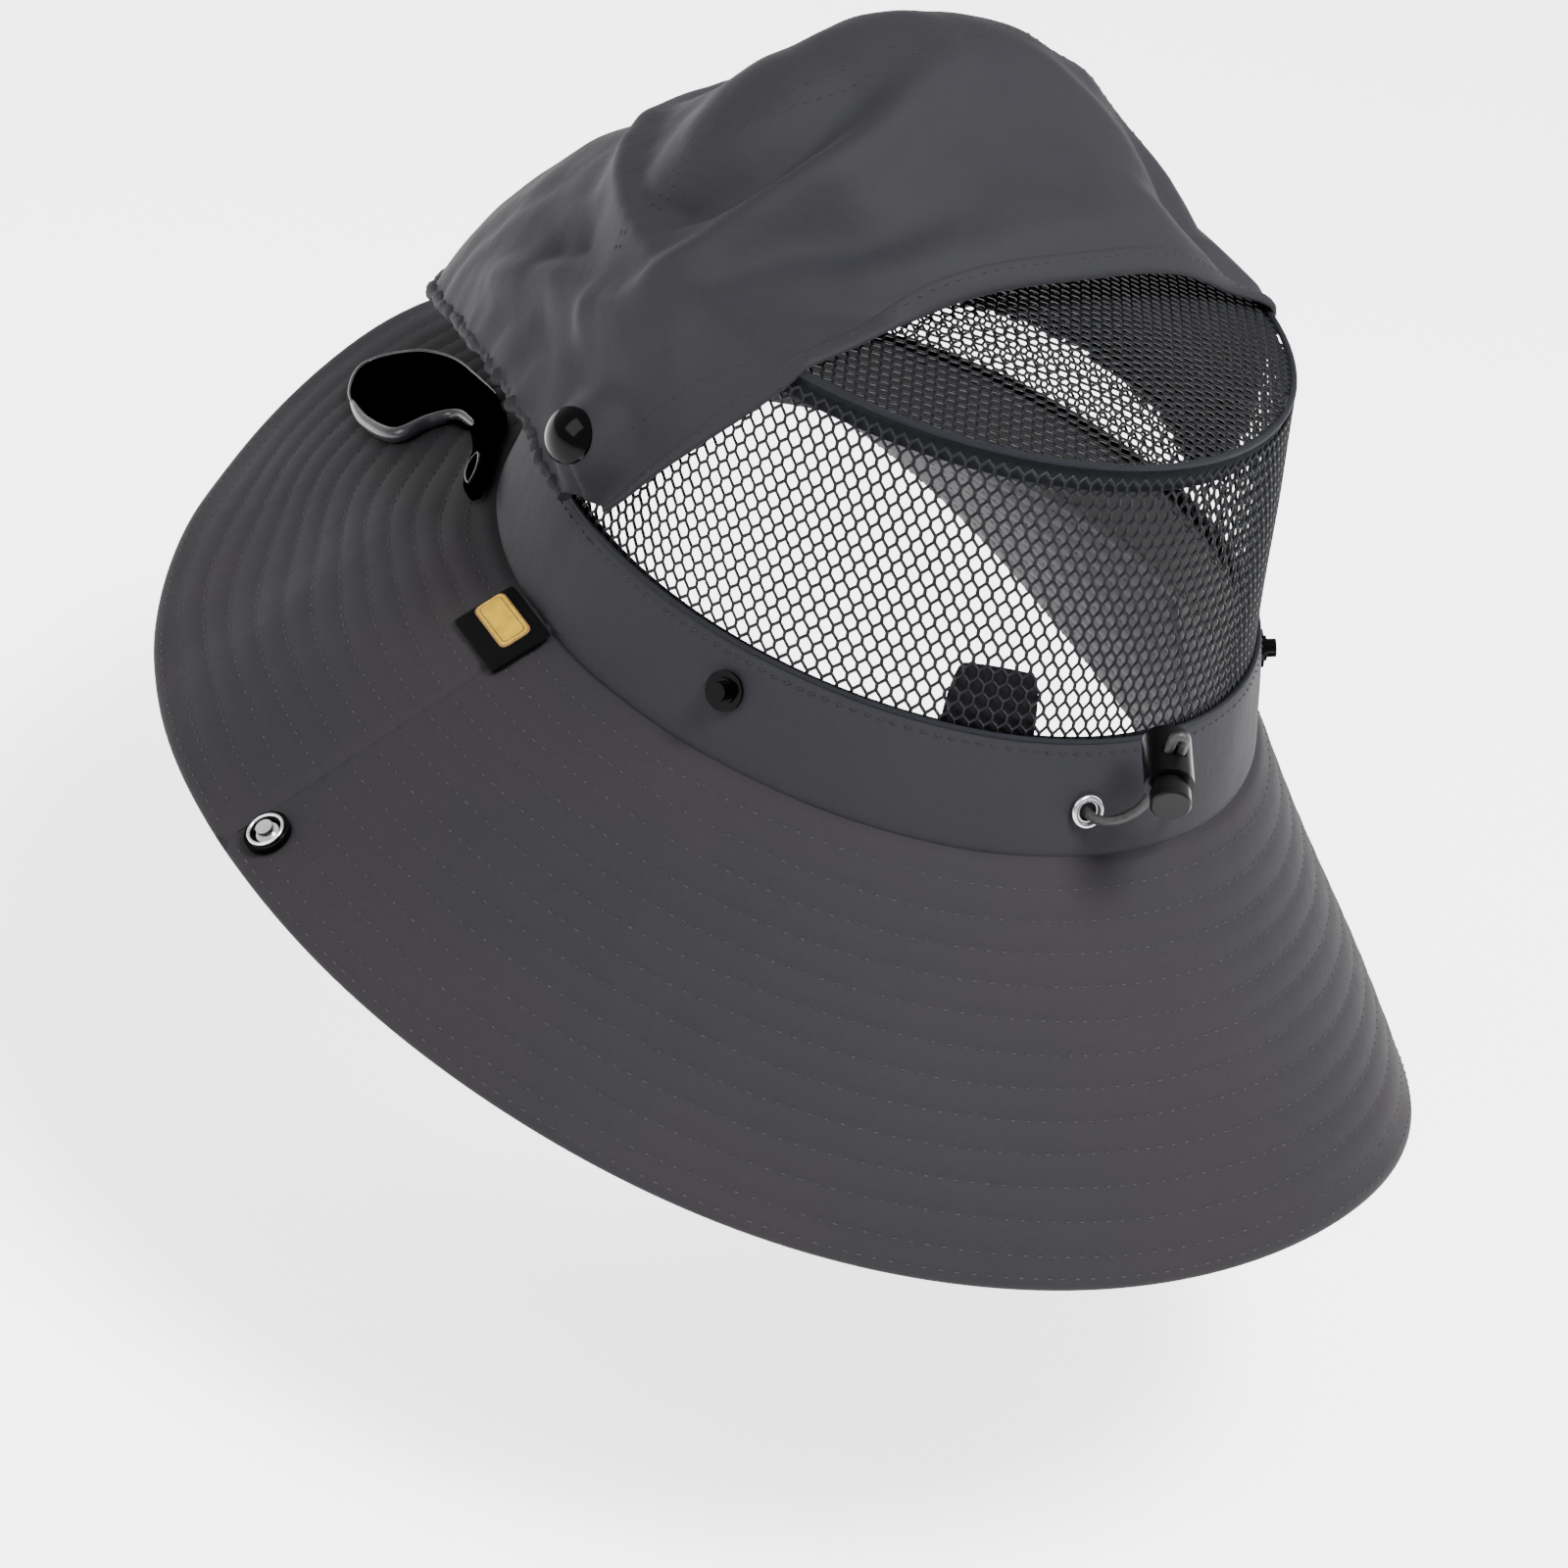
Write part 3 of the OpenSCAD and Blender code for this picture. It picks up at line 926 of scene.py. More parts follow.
@dataclass
class CoverSkin:
    """The cover's cloth, measured out from the hood's pivot line.

    al goes round the pivot line from the hem over the top to the brow, and b from the wearer's left
    to the right, both in degrees.
    """

    crown: Crown
    pivot_h: float = 28.0
    edge_al: float = 191.0
    side_al: float = 163.0
    slack: float = 1.1
    round_over: float = 3.0
    big_lumps: float = 1.1
    small_lumps: float = 0.5
    pleat: float = 0.6
    swag: float = 0.7
    cap_back: float = 3.7
    cap_pad: float = 16.0
    cap_way: Vector = field(default_factory=lambda: Vector((0.9, 0.25, 0.36)).normalized())
    cap_at: Vector = field(default_factory=Vector)
    folds: list[tuple[list[Vector], Fold]] = field(default_factory=list)

    def __post_init__(self) -> None:
        """Find the back of the left snap cap, and turn the folds' routes into points on the plain skin."""
        low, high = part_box("snap_caps")
        middle = (low + high) / 2 / MM
        self.cap_at = Vector((high.x / MM - self.cap_back, middle.y, middle.z))
        for fold in COVER_FOLDS:
            self.folds.append(([self.plain(al, b) for al, b in fold.route], fold))

    @property
    def pivot(self) -> Vector:
        """The middle of the pivot line."""
        return Vector((0, 0, self.pivot_h))

    def way(self, al: float, b: float) -> Vector:
        """Direction out from the pivot's middle."""
        a, c = math.radians(al), math.radians(b)
        return Vector((math.cos(c), math.sin(c) * math.cos(a), math.sin(c) * math.sin(a)))

    def hem(self, b: float) -> float:
        """The angle of the back hem."""
        return through(b, HEM_KEYS)

    def loose(self, al: float, b: float) -> float:
        """Radius of the cloth where it hangs free.

        Args:
            al: the angle over the top.
            b: the angle from side to side.

        Returns:
            The radius.
        """
        middle, side, square = (through(al, keys) for keys in COVER_CURVES)
        c = math.radians(b)
        return ((abs(math.cos(c)) / side) ** square + (math.sin(c) / middle) ** square) ** (-1 / square)

    def radii(self, al: float, b: float) -> tuple[float, float]:
        """The plain cloth's radius, and the least that clears the crown.

        Args:
            al: the angle over the top.
            b: the angle from side to side.

        Returns:
            The two radii.
        """
        resting = self.crown.reach(self.pivot, self.way(al, b)) + self.slack
        free = self.loose(al, b)
        blend = max(self.round_over - abs(resting - free), 0.0) / self.round_over
        return max(resting, free) + blend * blend * self.round_over / 4, resting

    def plain(self, al: float, b: float) -> Vector:
        """A point of the cover without its folds."""
        return self.pivot + self.way(al, b) * self.radii(al, b)[0]

    def edge(self, b: float) -> float:
        """The angle of the gathered edge: lowest at the brow, drawn up at both sides."""
        return self.side_al + (self.edge_al - self.side_al) * math.sin(math.radians(b)) ** 1.8

    def crumple(self, p: Vector, al: float, b: float) -> float:
        """How far the folded cloth stands off the plain skin at a point.

        Args:
            p: the point.
            al: its angle over the top.
            b: its angle from side to side.

        Returns:
            The rise there.
        """
        rise = 0.0
        for line, fold in self.folds:
            near = math.inf
            place_on = 0.0
            for k in range(len(line) - 1):
                run = line[k + 1] - line[k]
                share = min(max((p - line[k]).dot(run) / run.length_squared, 0.0), 1.0)
                gap = (p - line[k] - run * share).length
                if gap < near:
                    near = gap
                    place_on = (k + share) / (len(line) - 1)
            fade = 0.35 + 0.65 * math.sin(math.pi * min(max(place_on, 0.04), 0.96))
            rise += fold.height * fade * bell(near, fold.width)
        held = smooth((al - self.hem(b) - 2) / 14) * smooth((self.edge(b) - al) / 16)
        sides = smooth(min(b, 180 - b) / 16)
        lumps = (self.big_lumps * noise.noise(p * 0.05)
                 + self.small_lumps * noise.noise(p * 0.12 + Vector((7, 3, 1))))
        return (rise + lumps) * held * sides + self.pucker(al, b)

    def pucker(self, al: float, b: float) -> float:
        """Gathers that the elastic pulls into the cloth.

        Args:
            al: the angle over the top.
            b: the angle from side to side.

        Returns:
            The rise there.
        """
        back = self.edge(b) - 2 - al
        near, far = bell(back, 9), bell(back, 22)
        wave = math.sin(b * 1.9 + 1.6 * math.sin(b * 0.37)) + 0.5 * math.sin(b * 3.7 + 1)
        slow = math.sin(b * 0.62 + 1.2 * math.sin(b * 0.21))
        return (self.pleat * near * wave + self.swag * far * slow) * smooth(min(b, 180 - b) / 8)

    def at(self, al: float, b: float, off: float = 0.0) -> Vector:
        """A point of the folded cover.

        Args:
            al: the angle over the top.
            b: the angle from side to side.
            off: how far off the cloth.

        Returns:
            The point.
        """
        way = self.way(al, b)
        plain, least = self.radii(al, b)
        rise = self.crumple(self.pivot + way * plain, al, b)
        return self._under_caps(self.pivot + way * (max(plain + rise, least) + off))

    def _under_caps(self, p: Vector) -> Vector:
        """Bring the cloth up to the back of the snap caps.

        Args:
            p: a point of the cloth.

        Returns:
            The point, drawn to the cap where it is near one.
        """
        side = 1 if p.x > 0 else -1
        mirrored = Vector((side * p.x, p.y, p.z))
        off = mirrored - self.cap_at
        if off.length > self.cap_pad:
            return p
        mirrored -= self.cap_way * off.dot(self.cap_way) * smooth(2 - 2 * off.length / self.cap_pad)
        return Vector((side * mirrored.x, mirrored.y, mirrored.z))


# ---------------------------------------------------------------- finishes of this hat
class Skin(Enum):
    """The finishes, by the record's slot."""

    BRIM = "brim_cloth"
    LINING = "brim_lining"
    STIFFENER = "stiffener"
    CROWN = "crown_cloth"
    SWEAT = "sweat_cloth"
    NET = "mesh_net"
    TAPE = "tape"
    ELASTIC = "elastic"
    SNAP = "snap_black"
    SOCKET = "socket_black"
    SNAP_STEEL = "snap_steel"
    LABEL = "label_weave"
    BADGE = "badge_yellow"
    TAG = "tag_cloth"
    CORD = "cord"
    EYELET = "eyelet_steel"
    LOCK = "lock_plastic"
    PLUNGER = "plunger_plastic"
    SPRING = "spring_steel"
    STRAP_BLACK_AND_SHADE = "strap_black"
    STRAP_RIM_HIGHLIGHT = "strap_rim"


GREY: Colour = (0.0104, 0.0104, 0.0126)
GREY_WARM: Colour = (0.0145, 0.0122, 0.0136)
THREAD: Colour = (0.027, 0.027, 0.030)

FINISHES = {
    Skin.BRIM: WovenCloth("brim_cloth", GREY, warm=GREY_WARM),
    Skin.LINING: WovenCloth("brim_lining", shade(GREY, 0.9)),
    Skin.STIFFENER: WovenCloth("interlining", (0.004, 0.004, 0.0046), thread=0.0006, weave=0.7,
                               crumple=0.1),
    Skin.CROWN: WovenCloth("crown_cloth", GREY, crumple=0.7),
    Skin.SWEAT: WovenCloth("sweat_cloth", (0.008, 0.008, 0.009), thread=0.0007, weave=0.8),
    Skin.NET: Yarn("mesh_net", (0.0035, 0.0038, 0.005), rough=0.45),
    Skin.TAPE: WovenCloth("tape", (0.006, 0.0065, 0.009), thread=0.0006, weave=1.0),
    Skin.ELASTIC: WovenCloth("elastic", shade(GREY, 0.95), crumple=1.0),
    Skin.SNAP: Moulded("snap_black", (0.0006, 0.0006, 0.0007), rough=0.1, grain=0.03, shine=0.07),
    Skin.SOCKET: Moulded("socket_black", (0.0015, 0.0015, 0.0016), rough=0.35, shine=0.1),
    Skin.SNAP_STEEL: Moulded("snap_steel", (0.78, 0.78, 0.8), rough=0.24, metal=1.0),
    Skin.LABEL: WovenCloth("label_weave", (0.0012, 0.0012, 0.0014), thread=0.0005, weave=1.2,
                           crumple=0.2, shine=0.02),
    Skin.BADGE: Badge("badge_yellow", (0.36, 0.232, 0.0), (0.25, 0.15, 0.0)),
    Skin.TAG: WovenCloth("tag_cloth", (0.004, 0.004, 0.005), crumple=0.3),
    Skin.CORD: Braid("cord", (0.004, 0.004, 0.0045)),
    Skin.EYELET: Moulded("eyelet_steel", (0.42, 0.42, 0.44), rough=0.26, metal=1.0),
    Skin.LOCK: Moulded("lock_plastic", (0.0012, 0.0012, 0.0014), rough=0.3, grain=0.2, shine=0.14),
    Skin.PLUNGER: Moulded("plunger_plastic", (0.0015, 0.0015, 0.0017), rough=0.36, grain=0.25, shine=0.14),
    Skin.SPRING: Moulded("spring_steel", (0.7, 0.7, 0.72), rough=0.25, metal=1.0),
    # Near-black with no shine at all: the strap's own black on the tail, and painted shade filling the
    # pad's hollow.
    Skin.STRAP_BLACK_AND_SHADE: Moulded("strap_black", (0.0003, 0.0003, 0.0003), rough=0.35, grain=0.05, shine=0.0),
    # A lighter grey copy of the strap's black: painted highlight on the pad's rim line, its rolled lip and
    # the slit ring.
    Skin.STRAP_RIM_HIGHLIGHT: Moulded("strap_rim", (0.022, 0.022, 0.025), rough=0.24, grain=0.05, shine=0.35),
}


@dataclass
class Wardrobe:
    """Every finish, made once."""

    made: dict[Skin, bpy.types.Material] = field(default_factory=dict)

    def __getitem__(self, skin: Skin) -> bpy.types.Material:
        """The material of a finish.

        Args:
            skin: the finish.

        Returns:
            Its material, made the first time that it is asked for.
        """
        if skin not in self.made:
            self.made[skin] = FINISHES[skin].material()
        return self.made[skin]

    def yarn(self, name: str, colour: Colour) -> bpy.types.Material:
        """Sewing thread of a colour."""
        return Yarn(name, colour, rough=0.5).material()


# ---------------------------------------------------------------- brim
@dataclass
class Brim:
    """Two quilted layers of cloth over a stiffener, each cut in a front and a rear half."""

    skin: BrimSkin
    wardrobe: Wardrobe
    rows: int = 12
    first_row: float = 6.0
    row_gap: float = 6.45
    cloth_t: float = 0.5
    face: float = 1.15
    puff: float = 0.28
    steps: int = 62
    seam_steps: tuple[float, ...] = (-0.15, 0.3, 0.7, 1.3)
    front_wander: float = 0.9
    rear_wander: float = 0.25
    puff_shares: tuple[float, float] = (0.2, 0.8)
    seam_clear: float = 2.4
    seam_tuck: float = 0.9
    seam_width: float = 0.75
    inner_edge: tuple[tuple[float, float], ...] = ((-1.0, -1.0), (0.1, -0.7), (1.0, -0.2), (2.6, 0.1))
    outer_edge: tuple[tuple[float, float], ...] = ((-2.6, 0.1), (-0.9, -0.05), (0.25, -0.43), (0.6, -1.05))
    edge_row: float = 1.9
    core_t: float = 0.6
    core_in: float = 2.4
    core_out: float = 4.0

    def turns(self, start: float) -> list[float]:
        """Angles across one half, closer together at its side seams.

        Args:
            start: the angle where the half starts.

        Returns:
            The angles, in rising order.
        """
        open_part = 180 - 2 * self.seam_clear
        inner = [start + self.seam_clear + open_part * k / self.steps for k in range(self.steps + 1)]
        ends = self.seam_steps
        return [start + s for s in ends] + inner + [start + 180 - s for s in ends[::-1]]

    def row_at(self, k: float, t: float) -> float:
        """How far out a stitch row runs; the rows wander a little at the front left.

        Args:
            k: the row, or a place between two rows.
            t: the turn.

        Returns:
            Its distance from the brim's inner edge.
        """
        a = math.radians(t)
        if t < 0:
            wander = self.front_wander * bell(t + 42, 34) * math.sin(11 * a + 0.8 * k)
        else:
            wander = self.rear_wander * math.sin(6 * a + k)
        share = self.skin.width(t) / self.skin.side
        return (self.first_row + self.row_gap * k) * share + wander

    def half(self, name: str, start: float, over: bool, skin: Skin, node: str) -> bpy.types.Object:
        """One cloth half of one layer.

        Args:
            name: the piece's name.
            start: the angle where it starts.
            over: whether it is the upper layer.
            skin: its finish.
            node: the node that it stands for.

        Returns:
            The piece.
        """
        sign = 1 if over else -1
        rows, cut = [], []
        for t in self.turns(start):
            width = self.skin.width(t)
            edge = min(t - start, start + 180 - t)
            tuck = self.seam_tuck * bell(max(edge, 0.0), self.seam_width)
            line, marks = [], []
            stops = [(d, self.face + e) for d, e in self.inner_edge]
            for k in range(self.rows):
                stops.append((self.row_at(k, t), self.face - 0.15))
                if k < self.rows - 1:
                    stops += [(self.row_at(k + share, t), self.face + self.puff)
                              for share in self.puff_shares]
            stops += [(width + d, self.face + e) for d, e in self.outer_edge]
            for d, e in stops:
                lift = self.skin.wave(t, min(d, width))
                line.append(self.skin.at(t, d, sign * (e - tuck) + lift))
                marks.append((self.skin.round_at(d) * (t + 180) / 360, d))
            rows.append(line)
            cut.append(marks)
        made = Web(rows, cut).piece(name, self.wardrobe[skin], flip=not over)
        thicken(made, self.cloth_t)
        soften(made)
        return place(made, skin.value, node)

    def stitches(self, name: str, start: float, over: bool, cloth: bpy.types.Object) -> bpy.types.Object:
        """The rows of stitches of one half, laid on its cloth.

        Args:
            name: the piece's name.
            start: the angle where the half starts.
            over: whether it is the upper layer.
            cloth: the finished half.

        Returns:
            The stitches, one mesh.
        """
        thread = Thread()
        onto = surface(cloth)
        sign = 1 if over else -1
        for k in range(self.rows + 1):
            path, ups = [], []
            for step in range(121):
                t = start + 1.4 + (180 - 2.8) * step / 120
                d = self.row_at(k, t) if k < self.rows else self.skin.width(t) - self.edge_row
                e = self.face - 0.02 if k < self.rows else self.face + 0.12
                path.append(self.skin.at(t, d, sign * e + self.skin.wave(t, d)))
                ups.append(self.skin.up(t) * sign)
            thread.sew(path, ups, onto)
        made = thread.piece(name, self.wardrobe.yarn(name, THREAD))
        return place(made, Skin.BRIM.value)

    def make(self) -> None:
        """Make the four halves and their stitches."""
        halves = (("brim_front_cloth", -180.0, True, Skin.BRIM, "brim_front_upper"),
                  ("brim_rear_cloth", 0.0, True, Skin.BRIM, "brim_rear_upper"),
                  ("brim_front_lining", -180.0, False, Skin.LINING, "brim_front_under"),
                  ("brim_rear_lining", 0.0, False, Skin.LINING, "brim_rear_under"))
        self.stiffener()
        for name, start, over, skin, node in halves:
            cloth = self.half(name, start, over, skin, node)
            sewn = self.stitches(name + "_stitches", start, over, cloth)

    def stiffener(self) -> None:
        """The stiffener between the layers, which waves with them."""
        turns = [3.0 * k - 90 for k in range(120)]
        margin = self.core_in + self.core_out
        rows, cut = [], []
        for share in (k / 12 for k in range(13)):
            stops = [(t, self.core_in + (self.skin.width(t) - margin) * share) for t in turns]
            rows.append([self.skin.at(t, d, self.skin.wave(t, d)) for t, d in stops])
            length = self.skin.round_at(share * self.skin.side)
            cut.append([(length * k / 120, (self.skin.side - 3) * share) for k in range(121)])
        made = Web(rows, cut, wrap=True).piece("brim_core", self.wardrobe[Skin.STIFFENER], flip=True)
        thicken(made, self.core_t, 0.0)
        place(made, Skin.STIFFENER.value, "brim_stiffener")


# ---------------------------------------------------------------- crown
@dataclass
class CrownCloth:
    """Band, binding, sweatband, net wall and top, rim tape and care tag."""

    crown: Crown
    wardrobe: Wardrobe
    columns: int = 120
    net_pitch: float = 3.2
    net_row: float = 2.8
    lean: float = 0.25
    strand: float = 0.92
    top_pitch: float = 2.7
    seam_t: float = -3.0

    def ring(self, name: str, profile: Sequence[tuple[float, float]], skin: Skin,
             shift: Callable[[float, float], float] = lambda t, z: 0.0) -> bpy.types.Object:
        """A cloth ring round the head.

        Args:
            name: the piece's name.
            profile: (height, distance out of the wall) down its face.
            skin: its finish.
            shift: an extra distance out by angle and height.

        Returns:
            The ring, not yet thickened.
        """
        turns = [360 * j / self.columns for j in range(self.columns)]
        rows = [[self.crown.at(t, z, off + shift(t, z)) for t in turns] for z, off in profile]
        cut = [[(self.crown.round_at() * j / self.columns, z) for j in range(self.columns + 1)]
               for z, _ in profile]
        return Web(rows, cut, wrap=True).piece(name, self.wardrobe[skin])

    def crease(self, t: float, z: float) -> float:
        """The band's shallow wrinkles, its side seam and the pull of the cord.

        Args:
            t: the turn.
            z: the height.

        Returns:
            The rise there.
        """
        a = math.radians(t)
        slow = 0.3 * math.sin(7 * a + z / 9) + 0.18 * math.sin(17 * a - z / 6)
        seam = -0.45 * bell(min(abs(t - self.seam_t % 360), abs(t - 180 + self.seam_t)), 1.6)
        pull = 0.55 * bell(z - 17 - (t - 94) * 0.1, 2.2) * bell(t - 88, 16)
        return (slow + pull) * math.sin(math.pi * min(max(z / 25, 0), 1)) ** 0.5 + seam

    def band(self) -> None:
        """The cloth band with its binding at the top."""
        h = self.crown.band_h
        profile = [(-1.4, -0.5), (-0.4, -0.2), (0.5, 0.1), (1.4, 0.45), (3.0, 0.6), (6.5, 0.65),
                   (10.5, 0.7), (14.5, 0.7), (18.0, 0.65), (21.5, 0.6), (h - 1.0, 0.45),
                   (h - 0.25, 0.2), (h, -0.3)]
        made = self.ring("crown_band_cloth", profile, Skin.CROWN, self.crease)
        thicken(made, 0.7)
        soften(made)
        place(made, Skin.CROWN.value, "crown_band")
        turns = [3 * k for k in range(120)]
        edge = tube("band_binding", [self.crown.at(t, h - 0.1, 0.1) for t in turns], 0.55,
                    self.wardrobe[Skin.TAPE], cyclic=True)
        place(edge, Skin.TAPE.value)
        thread = Thread(length=2.2, pitch=3.0)
        path = [self.crown.at(t, h - 2.4, 0.58 + self.crease(t % 360, h - 2.4)) for t in turns + [360]]
        thread.sew(path, [self.crown.face(t) for t in turns + [360]])
        sewn = thread.piece("band_stitches", self.wardrobe.yarn("band_stitches", shade(THREAD, 0.6)))
        place(sewn, Skin.CROWN.value)

    def sweat(self) -> None:
        """The sweatband, turned under at its lower edge."""
        profile = [(24.3, -3.1), (23.0, -3.2), (18.0, -3.35), (12.0, -3.4), (6.0, -3.35),
                   (1.5, -3.2), (-0.4, -2.9), (-0.9, -2.2), (-0.4, -1.6)]
        made = self.ring("sweatband_cloth", profile, Skin.SWEAT,
                         lambda t, z: 0.12 * math.sin(math.radians(t * 31)) * bell(z - 2, 8))
        thicken(made, 0.9, 0.0)
        soften(made)
        place(made, Skin.SWEAT.value, "sweatband")
        thread = Thread(length=2.4, pitch=3.2)
        turns = [3 * k for k in range(121)]
        for z in (3.2, 21.6):
            thread.sew([self.crown.at(t, z, -3.85) for t in turns], [-self.crown.face(t) for t in turns])
        yarn = self.wardrobe.yarn("sweatband_stitches", (0.05, 0.05, 0.055))
        place(thread.piece("sweatband_stitches", yarn), Skin.SWEAT.value)

    def knit(self, name: str, verts: list[Vector], cells: list[Sequence[int]], strand: float,
             node: str) -> bpy.types.Object:
        """A net from its cells.

        Args:
            name: the piece's name.
            verts: knots, in millimetres.
            cells: each opening's knots.
            strand: thickness of a strand.
            node: the node that it stands for.

        Returns:
            The net, with its Wireframe live.
        """
        made = put(name, verts, cells, self.wardrobe[Skin.NET])
        wires = made.modifiers.new("strands", "WIREFRAME")
        wires.thickness = strand * MM
        wires.use_even_offset = False
        wires.use_boundary = True
        wires.offset = 0.0
        return place(made, Skin.NET.value, node)

    def net_wall(self) -> None:
        """The knitted wall, a band of six-sided cells leaning to diamonds."""
        crown = self.crown
        low, high = crown.band_h - 4, crown.rim_h + 0.6
        count = round(crown.round_at((low + high) / 2) / self.net_pitch)
        rows = round((high - low) / self.net_row)
        step = (high - low) / rows
        lip = self.lean * step
        verts: list[Vector] = []
        for j in range(rows + 1):
            for i in range(2 * count):
                rise = -lip if (i + j) % 2 else lip
                t = 360 * i / (2 * count)
                z = low + j * step + rise
                sag = 0.35 * noise.noise(Vector((i * 0.06, j * 0.12, 2.0)))
                share = smooth((z - low) / (high - low))
                spot = Vector((math.cos(math.radians(t)) * 3, math.sin(math.radians(t)) * 3, j * 0.07))
                drift = 0.28 * self.net_pitch * noise.noise(spot)
                turn = t + math.degrees(drift / crown.half_l)
                verts.append(crown.at(turn, z, mix(-0.9, 0.5, share) + sag))
        cells = []
        wide = 2 * count
        for j in range(rows - 1):
            for i in range(j % 2, wide, 2):
                a, b, c = i, (i + 1) % wide, (i + 2) % wide
                low_row, high_row = j * wide, (j + 1) * wide
                cells.append((low_row + a, low_row + b, low_row + c,
                              high_row + c, high_row + b, high_row + a))
        self.knit("crown_net_wall", verts, cells, self.strand, "crown_mesh_wall")

    def net_top(self) -> None:
        """The knitted top, drawn out to the rim."""
        crown = self.crown
        a = crown.half_w * crown.rim_scale - 0.4
        b = crown.half_l * crown.rim_scale - 0.4
        pitch = self.top_pitch
        step = pitch * 0.84
        lip = self.lean * step
        verts: list[Vector] = []
        cells = []
        found: dict[tuple[int, int], int] = {}

        def knot(i: int, j: int) -> int:
            """The place in verts of one knot, drawn in to the rim where it lies outside.

            Args:
                i: the knot's column.
                j: its row.

            Returns:
                Its place.
            """
            if (i, j) not in found:
                x = i * pitch / 2
                y = j * step + (-lip if (i + j) % 2 else lip)
                k = math.hypot(x / a, y / b)
                pull = min(1.0, 1 / k) if k > 1 else 1.0
                x, y, k = x * pull, y * pull, min(k, 1.0)
                dip = 1.3 * noise.noise(Vector((x * 0.035, y * 0.035, 5.0))) * (1 - k * k)
                found[i, j] = len(verts)
                rise = crown.top_rise * (1 - k * k) + dip
                verts.append(Vector((x, y - crown.rim_forward, crown.rim_h + 0.6 + rise)))
            return found[i, j]

        wide, tall = int(2 * a / pitch) + 2, int(b / step) + 1
        for j in range(-tall, tall):
            for i in range(-wide, wide):
                if (i + j) % 2:
                    continue
                x, y = (i + 1) * pitch / 2, (j + 0.5) * step
                if math.hypot(x / a, y / b) < 0.992:
                    cells.append((knot(i, j), knot(i + 1, j), knot(i + 2, j), knot(i + 2, j + 1),
                                  knot(i + 1, j + 1), knot(i, j + 1)))
        self.knit("crown_net_top", verts, cells, self.strand * 0.8, "crown_mesh_top")

    def tape(self) -> None:
        """The tape inside the top rim, and the piping over its seam."""
        h = self.crown.rim_h
        profile = [(h - 5.2, -1.15), (h - 4.9, -0.75), (h - 2.5, -0.5), (h - 0.2, -0.3), (h + 0.9, -0.9)]
        made = self.ring("crown_rim_ribbon", profile, Skin.TAPE)
        thicken(made, 0.5)
        soften(made)
        place(made, Skin.TAPE.value, "crown_rim_tape")
        turns = [3 * k for k in range(120)]
        piping = tube("crown_rim_piping", [self.crown.at(t, h + 0.9, 0.35) for t in turns], 0.75,
                      self.wardrobe[Skin.TAPE], cyclic=True)
        place(piping, Skin.TAPE.value)

    def care_tag(self) -> None:
        """The folded care tag standing up inside the back."""
        rows, cut = [], []
        for z, spread in ((17.0, 7.5), (24.0, 7.6), (31.0, 7.4), (38.0, 6.4)):
            turns = [69 + spread * (k / 4 - 1) for k in range(9)]
            curl = 1.2 * smooth((z - 27) / 12)
            rows.append([self.crown.at(t, z, -2.0 - curl * math.sin(k * 0.4)) for k, t in enumerate(turns)])
            cut.append([(t * 1.6, z) for t in turns])
        made = Web(rows, cut).piece("care_tag_cloth", self.wardrobe[Skin.TAG])
        thicken(made, 0.35)
        soften(made)
        place(made, Skin.TAG.value, "care_tag")

    def make(self) -> None:
        """Make every part of the crown."""
        self.band()
        self.sweat()
        self.net_wall()
        self.net_top()
        self.tape()
        self.care_tag()


